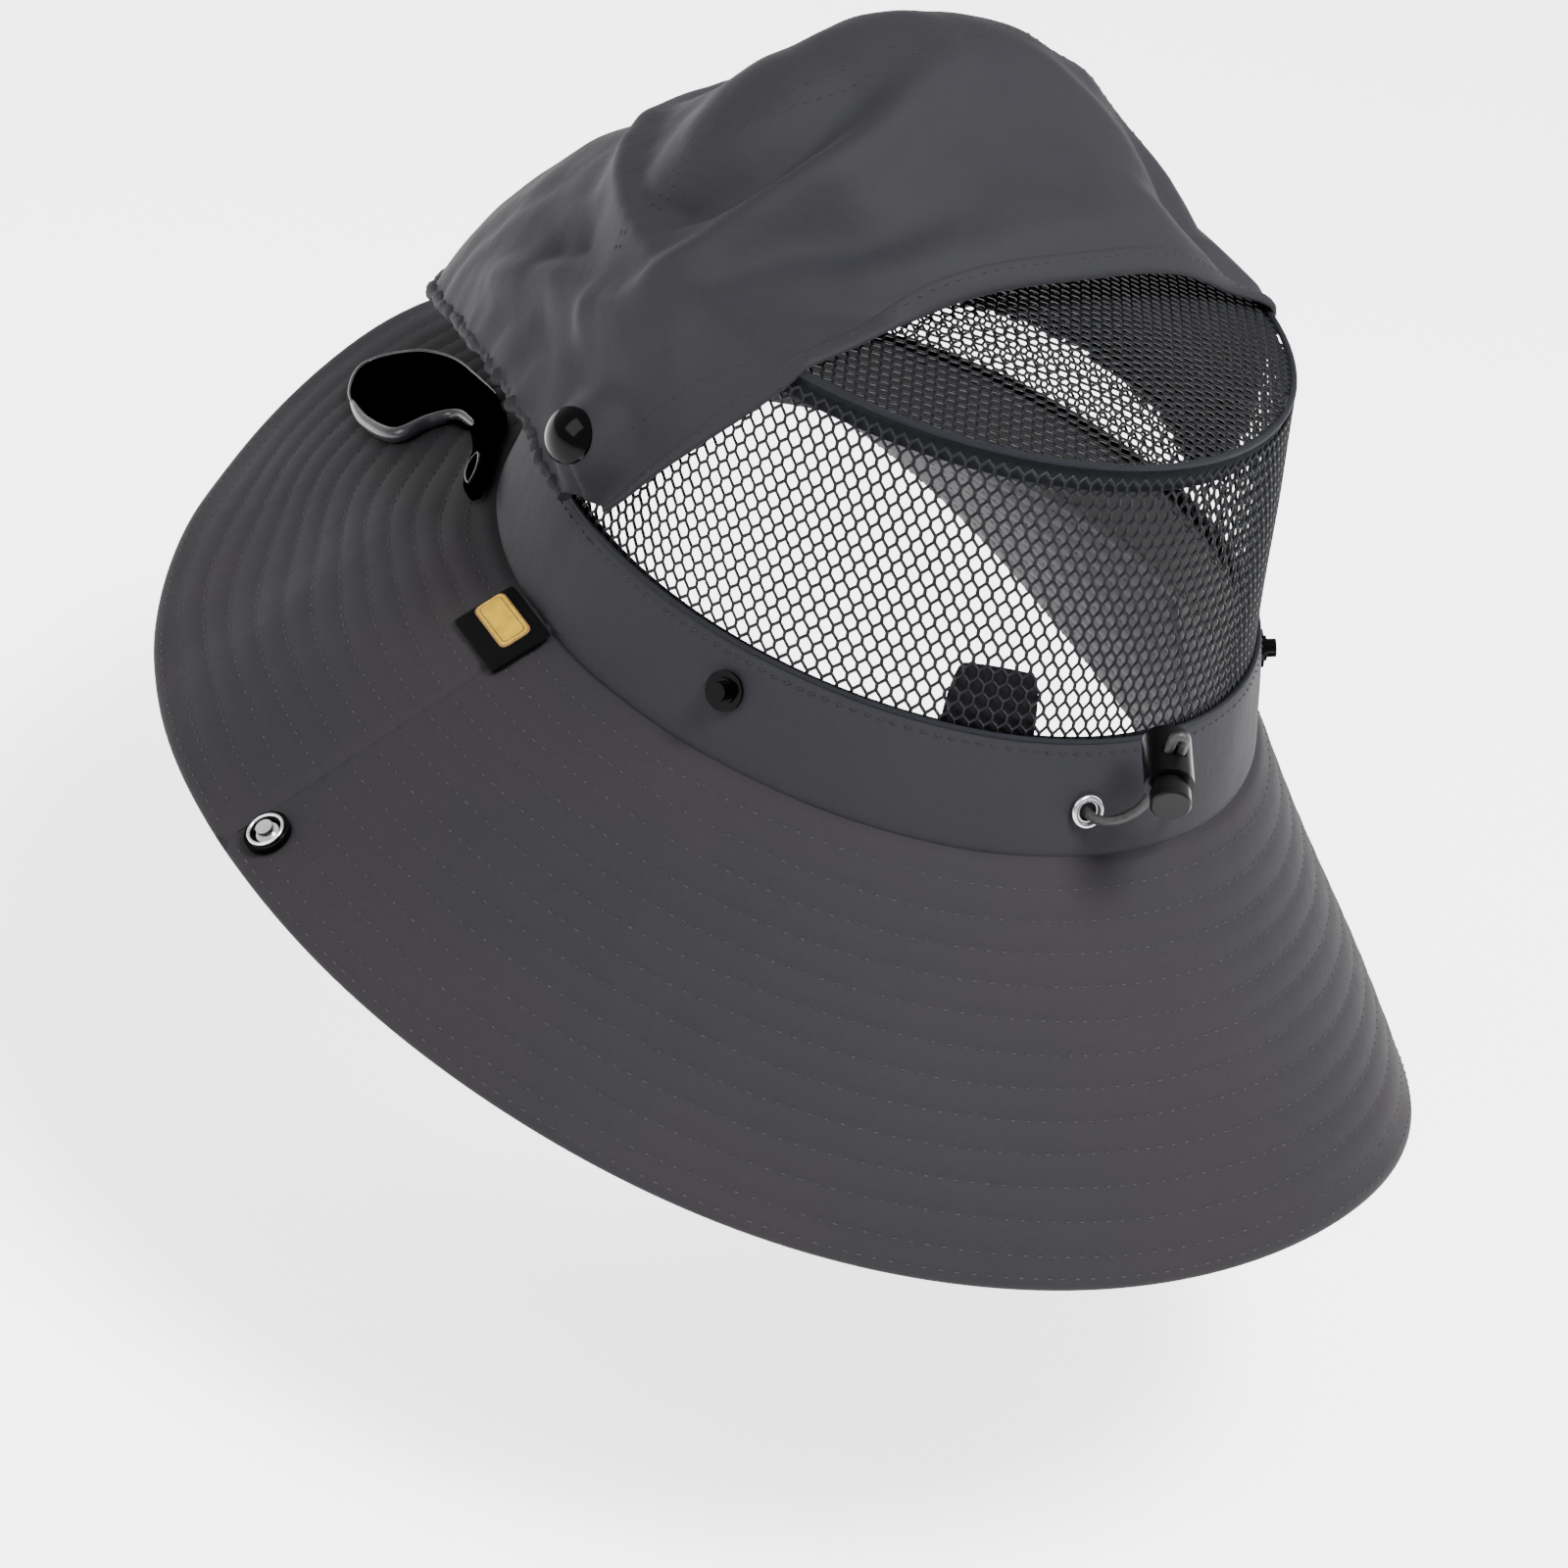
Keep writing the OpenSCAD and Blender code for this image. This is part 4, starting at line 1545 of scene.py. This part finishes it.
# ---------------------------------------------------------------- cover
@dataclass
class Cover:
    """The cloth cover over the crown, gathered at the brow and hemmed at the back."""

    skin: CoverSkin
    wardrobe: Wardrobe
    across: int = 104
    along: int = 72
    cloth_t: float = 0.6
    b_hem: float = 3.0
    b_brow: float = 4.5
    hem_t: float = 0.35
    hem_turn: float = 0.85
    hem_rows: tuple[tuple[float, float], ...] = ((-0.25, -0.2), (-0.2, 0.6), (0.5, 0.85), (2.2, 0.8),
                                                 (3.8, 0.75), (4.4, 0.2))
    hinge_lean: float = 30.0
    hinge_reach: tuple[float, float] = (-14.0, 34.0)

    def b_at(self, share: float, al: float) -> float:
        """The side-to-side angle at a share of the cloth's width."""
        low = mix(self.b_hem, self.b_brow, smooth((al - 90) / 80))
        return low + (180 - 2 * low) * share

    def cloth(self) -> bpy.types.Object:
        """The one cloth, from the hem over the top to the brow.

        Returns:
            The cloth, with its stack live.
        """
        rows, cut = [], []
        for i in range(self.along + 1):
            f = i / self.along
            line, marks = [], []
            for j in range(self.across + 1):
                share = j / self.across
                b = self.b_at(share, self.skin.hem(180 * share))
                low = self.skin.hem(b)
                al = low + (self.skin.edge(b) - low) * f
                b = self.b_at(share, al)
                line.append(self.skin.at(al, b))
                marks.append((share * 285, f * 250))
            rows.append(line)
            cut.append(marks)
        made = Web(rows, cut).piece("cover_cloth", self.wardrobe[Skin.CROWN], flip=True)
        thicken(made, self.cloth_t)
        soften(made)
        return made

    def hem(self) -> bpy.types.Object:
        """The turned hem at the back, a doubled strip lying on the cloth.

        Returns:
            The hem, with its stack live.
        """
        rows, cut = [], []
        for k, (up, off) in enumerate(self.hem_rows):
            line = []
            for j in range(self.across + 1):
                b = self.b_at(j / self.across, 60)
                line.append(self.skin.at(self.skin.hem(b) + up * self.hem_turn, b, off))
            rows.append(line)
            cut.append([(3.3 * j, 1.2 * k) for j in range(self.across + 1)])
        made = Web(rows, cut).piece("cover_hem", self.wardrobe[Skin.CROWN], flip=True)
        thicken(made, self.hem_t)
        soften(made)
        return made

    def gathers(self) -> bpy.types.Object:
        """The elastic's channel along the brow, drawn up into small pleats.

        Returns:
            The gathered channel.
        """
        path, widths = [], []
        for k in range(241):
            b = self.b_brow + (180 - 2 * self.b_brow) * k / 240
            path.append(self.skin.at(self.skin.edge(b) - 1.2, b, -0.6))
            widths.append(1 + 0.28 * math.sin(k * 1.9) + 0.14 * math.sin(k * 3.1))
        made = tube("cover_gathers", path, 1.7, self.wardrobe[Skin.ELASTIC], widths=widths)
        return place(made, Skin.ELASTIC.value, "cover_elastic")

    def stitches(self, cloth: bpy.types.Object, hem: bpy.types.Object) -> bpy.types.Object:
        """Hem row, tip seam and the short rows beside the snaps.

        Args:
            cloth: the finished cover.
            hem: its finished hem.

        Returns:
            The stitches, one mesh.
        """
        thread = Thread(length=2.3, pitch=3.1, width=0.4, height=0.25)
        self._sew(thread, [(self.skin.hem(b) + 2.4, b) for b in self._spread(6, 174, 150)], surface(hem))
        onto = surface(cloth)
        for shift in (-1.0, 1.1):
            self._sew(thread, [(self.tip_al(b) + shift, b) for b in self._spread(38, 142, 110)], onto)
        for flip in (False, True):
            row = [(mix(80.5, 63.5, f), mix(13.5, 40.5, f)) for f in (k / 40 for k in range(41))]
            self._sew(thread, [(al, 180 - b if flip else b) for al, b in row], onto)
        return thread.piece("cover_stitches", self.wardrobe.yarn("cover_stitches", shade(THREAD, 0.55)))

    def tip_al(self, b: float) -> float:
        """Where the tip seam crosses the top."""
        return through(b, TIP_KEYS)

    def _spread(self, low: float, high: float, count: int) -> list[float]:
        """Evenly spaced angles."""
        return [low + (high - low) * k / count for k in range(count + 1)]

    def _sew(self, thread: Thread, stops: Sequence[tuple[float, float]], onto: BVHTree) -> None:
        """Sew along (al, b) stops, laid on a surface."""
        thread.sew([self.skin.at(*s) for s in stops], [self.skin.way(*s) for s in stops], onto)

    def make(self) -> None:
        """Make the cover's cloth, hem, gathered edge and stitches."""
        cloth = self.cloth()
        hem = self.hem()
        self.gathers()
        for piece in (cloth, hem):
            settle(piece)
        sewn = self.stitches(cloth, hem)
        for piece in (cloth, hem, sewn):
            self.hinge(piece)
        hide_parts("cover_front", "cover_hood")
        log.info("made the cover over %s and %s", HAT, HOOD)

    def hinge(self, piece: bpy.types.Object) -> None:
        """Bake a piece's place into its mesh; the hinge line's two ends are worked out but not used.

        Args:
            piece: a finished piece of the cover.
        """
        lean = math.radians(self.hinge_lean)
        way = Vector((0, math.cos(lean), math.sin(lean)))
        ends = [tuple((self.skin.pivot + way * far) * MM) for far in self.hinge_reach]
        ends[0]
        ends[1]
        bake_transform(piece)


# ---------------------------------------------------------------- label, cord and strap
@dataclass
class Label:
    """A folded side label with a plain badge, sewn into the band's seam."""

    brim: BrimSkin
    wardrobe: Wardrobe
    turn: float = -3.4
    out: float = 7.4
    twist: float = 1.0
    half: float = 10.8
    badge_at: tuple[float, float, float] = (-0.6, -1.6, 0.0)

    def spot(self) -> Matrix:
        """The label's own place: Z out of the brim and X away from the band.

        Returns:
            The place, in millimetres.
        """
        up = self.brim.up(self.turn)
        middle = self.brim.at(self.turn, self.out)
        polar = math.atan2(up.y, up.x)
        tilt = math.acos(up.z)
        start = Matrix.Rotation(polar, 4, "Z") @ Matrix.Rotation(tilt, 4, "Y")
        return Matrix.Translation(middle) @ start @ Matrix.Rotation(math.radians(self.twist), 4, "Z")

    def loop(self) -> None:
        """The black ribbon, folded back under itself at its outer end."""
        spot = self.spot()
        profile = [(-6.6, 1.35), (-2.0, 1.5), (3.0, 1.6), (6.6, 1.75), (7.6, 1.95), (7.9, 2.2),
                   (7.6, 2.45), (6.6, 2.5), (3.0, 2.45), (-2.0, 2.4), (-6.2, 2.25), (-7.2, 2.0)]
        rows, cut = [], []
        for k, (x, z) in enumerate(profile):
            line = []
            for j in range(8):
                y = -self.half + 2 * self.half * j / 7
                line.append(spot @ Vector((x, y, z - 0.1 * (j - 3.5) ** 2 / 12)))
            rows.append(line)
            cut.append([(2.5 * j, 3.0 * k) for j in range(8)])
        made = Web(rows, cut).piece("label_ribbon", self.wardrobe[Skin.LABEL], flip=True)
        thicken(made, 0.4, 0.0)
        soften(made)
        place(made, Skin.LABEL.value, "label_loop")

    def plate(self, name: str, size: tuple[float, float], low: float, high: float, corner: float,
              skin: bpy.types.Material) -> bpy.types.Object:
        """A rounded plate on the ribbon.

        Args:
            name: the piece's name.
            size: its two sides.
            low: its lower face, above the label's place.
            high: its upper face.
            corner: the radius of its corners.
            skin: its finish.

        Returns:
            The plate, with its edges rounded.
        """
        spot = self.spot() @ Matrix.Translation(self.badge_at)
        outline = []
        for cx, cy, first in ((1, 1, 0), (-1, 1, 90), (-1, -1, 180), (1, -1, 270)):
            for k in range(5):
                a = math.radians(first + 22.5 * k)
                outline.append((cx * (size[0] / 2 - corner) + corner * math.cos(a),
                                cy * (size[1] / 2 - corner) + corner * math.sin(a)))
        count = len(outline)
        verts = [spot @ Vector((x, y, z)) for z in (low, high) for x, y in outline]
        faces = [tuple(range(count))[::-1], tuple(range(count, 2 * count))]
        faces += [(k, (k + 1) % count, count + (k + 1) % count, count + k) for k in range(count)]
        made = put(name, verts, faces, skin, rounded=False)
        round_edges(made, min(0.18, (high - low) * 0.4))
        return made

    def make(self) -> None:
        """Make the ribbon and its badge."""
        self.loop()
        edge = Badge("badge_edge", (0.16, 0.085, 0.02), (0.10, 0.05, 0.012)).material()
        face = self.wardrobe[Skin.BADGE]
        place(self.plate("label_badge_rim", (7.8, 16.2), 2.5, 2.95, 1.7, edge), Skin.BADGE.value,
              "label_badge")
        place(self.plate("label_badge_line", (7.0, 15.4), 2.9, 3.05, 1.4, face), Skin.BADGE.value)
        place(self.plate("label_badge_groove", (5.8, 14.2), 3.0, 3.09, 1.1, edge), Skin.BADGE.value)
        place(self.plate("label_badge_field", (5.2, 13.6), 3.05, 3.2, 1.0, face), Skin.BADGE.value)


@dataclass
class Drawcord:
    """The drawcord: hidden round the band, and free from eyelet to eyelet through its lock."""

    crown: Crown
    wardrobe: Wardrobe
    radius: float = 1.1
    channel_z: float = 10.5
    channel_off: float = -1.6
    eye_left: float = 86.0
    eye_right: float = 102.0
    lock_at: Vector = field(default_factory=lambda: Vector((-2.3, 108.8, 28.4)))
    lock_turn: float = 65.0
    lock_tilt: float = 15.0
    strand_y: float = 1.25
    straight: float = 9.5
    loop_z: float = 8.0

    def from_lock(self, x: float, y: float, z: float) -> Vector:
        """A point in the lock's own axes: X along its barrel, Z along the cord.

        Args:
            x: along the barrel.
            y: across it.
            z: along the cord.

        Returns:
            The point in the hat's frame.
        """
        turn, tilt = math.radians(self.lock_turn), math.radians(self.lock_tilt)
        ahead = Vector((math.cos(turn), math.sin(turn), 0))
        aside = Vector((-math.sin(turn), math.cos(turn), 0))
        above = Vector((0, 0, 1))
        barrel = ahead * math.cos(tilt) - above * math.sin(tilt)
        cord_way = ahead * math.sin(tilt) + above * math.cos(tilt)
        return self.lock_at + x * barrel + y * aside + z * cord_way

    def strand(self, y: float, t: float) -> list[Vector]:
        """From inside an eyelet up to the lock.

        Args:
            y: the strand's place across the lock.
            t: the eyelet's turn.

        Returns:
            The points of its middle line.
        """
        p = [self.crown.at(t, self.channel_z, 1.6), self.crown.at(t, self.channel_z, 8),
             self.from_lock(0, y, -self.straight - 6), self.from_lock(0, y, -self.straight)]
        line = [self.crown.at(t, self.channel_z, 0)]
        for k in range(8):
            f, g = k / 7, 1 - k / 7
            line.append(g ** 3 * p[0] + 3 * g * g * f * p[1] + 3 * f * f * g * p[2] + f ** 3 * p[3])
        return line

    def free_route(self) -> list[Vector]:
        """Out of the left eyelet, up through the lock, over and back into the right eyelet.

        Returns:
            The points of its middle line.
        """
        top = [self.from_lock(0, self.strand_y * math.cos(math.radians(a)),
                              self.loop_z + self.strand_y * math.sin(math.radians(a)))
               for a in range(180, -1, -30)]
        up = self.strand(-self.strand_y, self.eye_left) + [self.from_lock(0, -self.strand_y, 0)]
        down = self.strand(self.strand_y, self.eye_right) + [self.from_lock(0, self.strand_y, 0)]
        return up + top + down[::-1]

    def make(self) -> None:
        """Make the free cord, its hidden run and the lock's finishes."""
        cord_skin = self.wardrobe[Skin.CORD]
        free = tube("drawcord_free", self.free_route(), self.radius, cord_skin)
        place(free, Skin.CORD.value, "drawcord")
        route = self.free_route()
        length = sum((b - a).length for a, b in zip(route, route[1:]))
        tuple(route[0] * MM)
        2 * self.radius * MM
        hidden_arc = 360 - (self.eye_right - self.eye_left) - 2
        turns = [self.eye_right + 1 + hidden_arc * k / 90 for k in range(91)]
        hidden = [self.crown.at(t, self.channel_z, self.channel_off) for t in turns]
        place(tube("drawcord_hidden", hidden, self.radius, cord_skin), Skin.CORD.value)
        dress("cord_eyelets", self.wardrobe[Skin.EYELET])
        dress("lock_body", self.wardrobe[Skin.LOCK])
        dress("lock_plunger", self.wardrobe[Skin.PLUNGER])
        dress("lock_spring", self.wardrobe[Skin.SPRING])


@dataclass
class Strap:
    """The glossy black strap stowed on the brim under the cover's edge."""

    brim: BrimSkin
    wardrobe: Wardrobe
    outline: tuple[tuple[float, float], ...] = (
        (-66, 63.5), (-70, 68.5), (-72.5, 64.5), (-74, 55), (-72.5, 40), (-66, 19.5), (-58, 9.5),
        (-53.5, 9.5), (-59.5, 21.5), (-58.5, 28.5), (-55.5, 35), (-59, 47), (-63, 57))
    tail: tuple[tuple[float, float, float], ...] = ((-59, 14, 4.8), (-53, 8.5, 4.2), (-47, 5.6, 3.2),
                                                    (-41, 4.6, 3.5), (-36, 4.0, 3.1), (-31.5, 3.6, 0.8))
    top: float = 4.2

    def rim_path(self, lift: float, grow: float = 1.0, first: float = 0.0, last: float = 1.0,
                 count: int = 78) -> list[Vector]:
        """A smooth line round the pad, or part of it.

        Args:
            lift: its height off the brim's middle.
            grow: its size against the pad's outline.
            first: the share of the way round where it starts.
            last: the share where it ends.
            count: how many points it has.

        Returns:
            The points.
        """
        n = len(self.outline)
        middle = (sum(p[0] for p in self.outline) / n, sum(p[1] for p in self.outline) / n)
        path = []
        for k in range(count):
            x = n * (first + (last - first) * k / count)
            i, f = int(x // 1), x % 1
            a, b, c, d = (self.outline[(i + s) % n] for s in (-1, 0, 1, 2))
            spot = [0.5 * (2 * b[m] + (c[m] - a[m]) * f + (2 * a[m] - 5 * b[m] + 4 * c[m] - d[m]) * f * f
                           + (3 * b[m] - a[m] - 3 * c[m] + d[m]) * f ** 3) for m in (0, 1)]
            path.append(self.brim.at(mix(middle[0], spot[0], grow), mix(middle[1], spot[1], grow), lift))
        return path

    def pad(self) -> None:
        """The hollowed pad in flat black as painted shade, its upper rim and rolled lower lip in lighter
        grey as painted highlight.
        """
        rings = ((0.96, 0.9), (1.0, 1.8), (1.01, 2.8), (1.0, self.top), (0.96, self.top + 0.1), (0.92, 3.7),
                 (0.86, 3.2), (0.7, 3.0), (0.4, 2.9), (0.04, 2.9))
        count = 78
        verts = [p for grow, lift in rings for p in self.rim_path(lift, grow)]
        faces = []
        for i in range(len(rings) - 1):
            for k in range(count):
                n = (k + 1) % count
                faces.append((i * count + k, i * count + n, (i + 1) * count + n, (i + 1) * count + k))
        faces.append(tuple(range(count))[::-1])
        faces.append(tuple(range((len(rings) - 1) * count, len(rings) * count)))
        made = put("strap_pad", verts, faces, self.wardrobe[Skin.STRAP_BLACK_AND_SHADE])
        tidy = bmesh.new()
        tidy.from_mesh(made.data)
        bmesh.ops.recalc_face_normals(tidy, faces=tidy.faces)
        tidy.to_mesh(made.data)
        tidy.free()
        soften(made)
        place(made, Skin.STRAP_BLACK_AND_SHADE.value, "strap_loop")
        count = 48
        swell = [math.sin(math.pi * (k + 0.5) / count) ** 0.5 for k in range(count)]
        # Rim line and lip in the lighter grey copy: painted highlight along the pad's edges.
        rim = tube("strap_rim_line", self.rim_path(self.top, 0.99, -0.14, 0.4, count), 0.45,
                   self.wardrobe[Skin.STRAP_RIM_HIGHLIGHT], widths=swell)
        place(rim, Skin.STRAP_RIM_HIGHLIGHT.value)
        lip = tube("strap_lip", self.rim_path(self.top - 0.6, 0.97, 0.55, 0.97, count), 1.9,
                   self.wardrobe[Skin.STRAP_RIM_HIGHLIGHT], widths=swell)
        place(lip, Skin.STRAP_RIM_HIGHLIGHT.value)

    def tail_piece(self) -> None:
        """The tail, narrowing to a tip."""
        rows, cut = [], []
        fine = 18
        keys = [[(float(i), v[m]) for i, v in enumerate(self.tail)] for m in range(3)]
        end = len(self.tail) - 1.0
        for k in range(fine + 1):
            x = end * k / fine
            t, d, half = (through(x, line) for line in keys)
            near, far = max(x - 0.2, 0.0), min(x + 0.2, end)
            along = (self.brim.at(through(far, keys[0]), through(far, keys[1]))
                     - self.brim.at(through(near, keys[0]), through(near, keys[1])))
            side = along.cross(self.brim.up(t)).normalized()
            here = self.brim.at(t, d, 2.4)
            line = []
            for j in range(5):
                share = (j - 2) / 2
                rise = 2.2 * (1 - share * share) * min(1.0, half / 3)
                line.append(here + side * half * share + self.brim.up(t) * rise)
            rows.append(line)
            cut.append([(2.0 * j, 2.0 * k) for j in range(5)])
        made = Web(rows, cut).piece("strap_tail_piece", self.wardrobe[Skin.STRAP_BLACK_AND_SHADE])
        thicken(made, 1.4, 0.0)
        soften(made)
        place(made, Skin.STRAP_BLACK_AND_SHADE.value, "strap_tail")

    def slit(self) -> None:
        """The almond-shaped ring near the tail's tip."""
        path = []
        for k in range(28):
            a = 2 * math.pi * k / 28
            t = -38.0 + 4.2 * math.cos(a)
            d = 4.5 + 1.3 * math.sin(a) * abs(math.sin(a)) ** 0.4
            path.append(self.brim.at(t, d, 5.5))
        # The ring in the lighter grey copy: painted highlight round the slit.
        made = tube("strap_slit_ring", path, 0.3, self.wardrobe[Skin.STRAP_RIM_HIGHLIGHT], cyclic=True)
        place(made, Skin.STRAP_RIM_HIGHLIGHT.value, "strap_eyelet")

    def make(self) -> None:
        """Make the strap's pieces."""
        self.pad()
        self.tail_piece()
        self.slit()


@dataclass
class Snaps:
    """The snap fasteners, which keep their own shapes."""

    wardrobe: Wardrobe

    def make(self) -> None:
        """Dress the carried-over nodes."""
        skins = {"snap_caps": Skin.SNAP, "snap_sockets": Skin.SOCKET, "band_studs": Skin.SNAP,
                 "band_stud_backs": Skin.SNAP_STEEL, "brim_stud_bases": Skin.SNAP,
                 "brim_stud_rings": Skin.SNAP_STEEL, "brim_studs": Skin.SNAP_STEEL,
                 "brim_stud_backs": Skin.SNAP}
        for node, skin in skins.items():
            dress(node, self.wardrobe[skin])


# ---------------------------------------------------------------- studio
WHITE = (1.0, 1.0, 1.0, 1.0)


@dataclass
class Studio:
    """Pale floor, soft lights and the camera."""

    azimuth: float = 53.1
    elevation: float = 28.2
    roll: float = 15.5
    distance: float = 1.1
    lens: float = 112.6
    shift: tuple[float, float] = (-0.0575, -0.1125)
    sky: float = 0.85
    floor_glow: float = 2.4
    floor_gap: float = 0.09
    floor_reach: float = 6.0
    floor_grey: float = 0.93
    floor_rough: float = 0.9

    def camera(self) -> None:
        """The camera, rolled to the side as the hat is shown."""
        a, e, r = (math.radians(x) for x in (self.azimuth, self.elevation, self.roll))
        back = Vector((math.cos(e) * math.cos(a), math.cos(e) * math.sin(a), math.sin(e)))
        level = Vector((0, 0, 1)).cross(back).normalized()
        rise = back.cross(level)
        right = math.cos(r) * level + math.sin(r) * rise
        up = math.cos(r) * rise - math.sin(r) * level
        lens = bpy.data.cameras.new("camera")
        lens.lens = self.lens
        lens.sensor_width = 36.0
        lens.shift_x, lens.shift_y = self.shift
        lens.clip_end = 30.0
        seat = bpy.data.objects.new("camera", lens)
        turn = Matrix((right, up, back)).transposed().to_4x4()
        seat.matrix_world = Matrix.Translation(back * self.distance) @ turn
        bpy.context.scene.collection.objects.link(seat)
        bpy.context.scene.camera = seat

    def lamp(self, name: str, azimuth: float, elevation: float, distance: float, size: float,
             power: float, tall: float | None = None) -> None:
        """A soft box aimed at the hat.

        Args:
            name: its name.
            azimuth: direction round the hat, in degrees.
            elevation: height, in degrees.
            distance: how far off, in metres.
            size: its width, in metres.
            power: watts.
            tall: its height, where it isn't square.
        """
        a, e = math.radians(azimuth), math.radians(elevation)
        way = Vector((math.cos(e) * math.cos(a), math.cos(e) * math.sin(a), math.sin(e)))
        box = bpy.data.lights.new(name, "AREA")
        box.shape = "RECTANGLE"
        box.size = size
        box.size_y = tall or size
        box.energy = power
        seat = bpy.data.objects.new(name, box)
        seat.location = way * distance
        seat.rotation_euler = way.to_track_quat("Z", "Y").to_euler()
        bpy.context.scene.collection.objects.link(seat)

    def make(self) -> None:
        """Build the studio."""
        self.camera()
        world = bpy.data.worlds.new("studio")
        world.use_nodes = True
        backdrop = world.node_tree.nodes["Background"]
        backdrop.inputs[0].default_value = WHITE
        backdrop.inputs[1].default_value = self.sky
        bpy.context.scene.world = world
        self.lamp("key", 95, 64, 1.4, 0.5, 54)
        self.lamp("fill", 0, 40, 1.6, 1.0, 20)
        self.lamp("rim", 165, 30, 1.3, 0.5, 10, 1.0)
        low = CAD_BOX[0].z - self.floor_gap
        reach = self.floor_reach
        mesh = bpy.data.meshes.new("floor")
        corners = ((-1, -1), (1, -1), (1, 1), (-1, 1))
        mesh.from_pydata([(x * reach, y * reach, low) for x, y in corners], [], [(0, 1, 2, 3)])
        floor = bpy.data.objects.new("floor", mesh)
        paint = Shader("floor")
        paint.give("Base Color", (self.floor_grey, self.floor_grey, self.floor_grey, 1.0))
        paint.give("Roughness", self.floor_rough)
        paint.give("Emission Color", WHITE)
        paint.give("Emission Strength", self.floor_glow)
        mesh.materials.append(paint.material)
        bpy.context.scene.collection.objects.link(floor)


def main() -> None:
    """Build the hat, piece by piece."""
    logging.basicConfig(level=logging.INFO, stream=sys.stdout,
                        format="%(relativeCreated)6.0f %(name)s: %(message)s")
    wardrobe = Wardrobe()
    crown = Crown.from_frame()
    brim = BrimSkin(crown)
    parts = (Studio(), Drawcord(crown, wardrobe), Brim(brim, wardrobe), CrownCloth(crown, wardrobe),
             Cover(CoverSkin(crown), wardrobe), Label(brim, wardrobe), Strap(brim, wardrobe),
             Snaps(wardrobe))
    for part in parts:
        log.info("building %s", type(part).__name__)
        part.make()


if __name__ == "__main__":
    main()
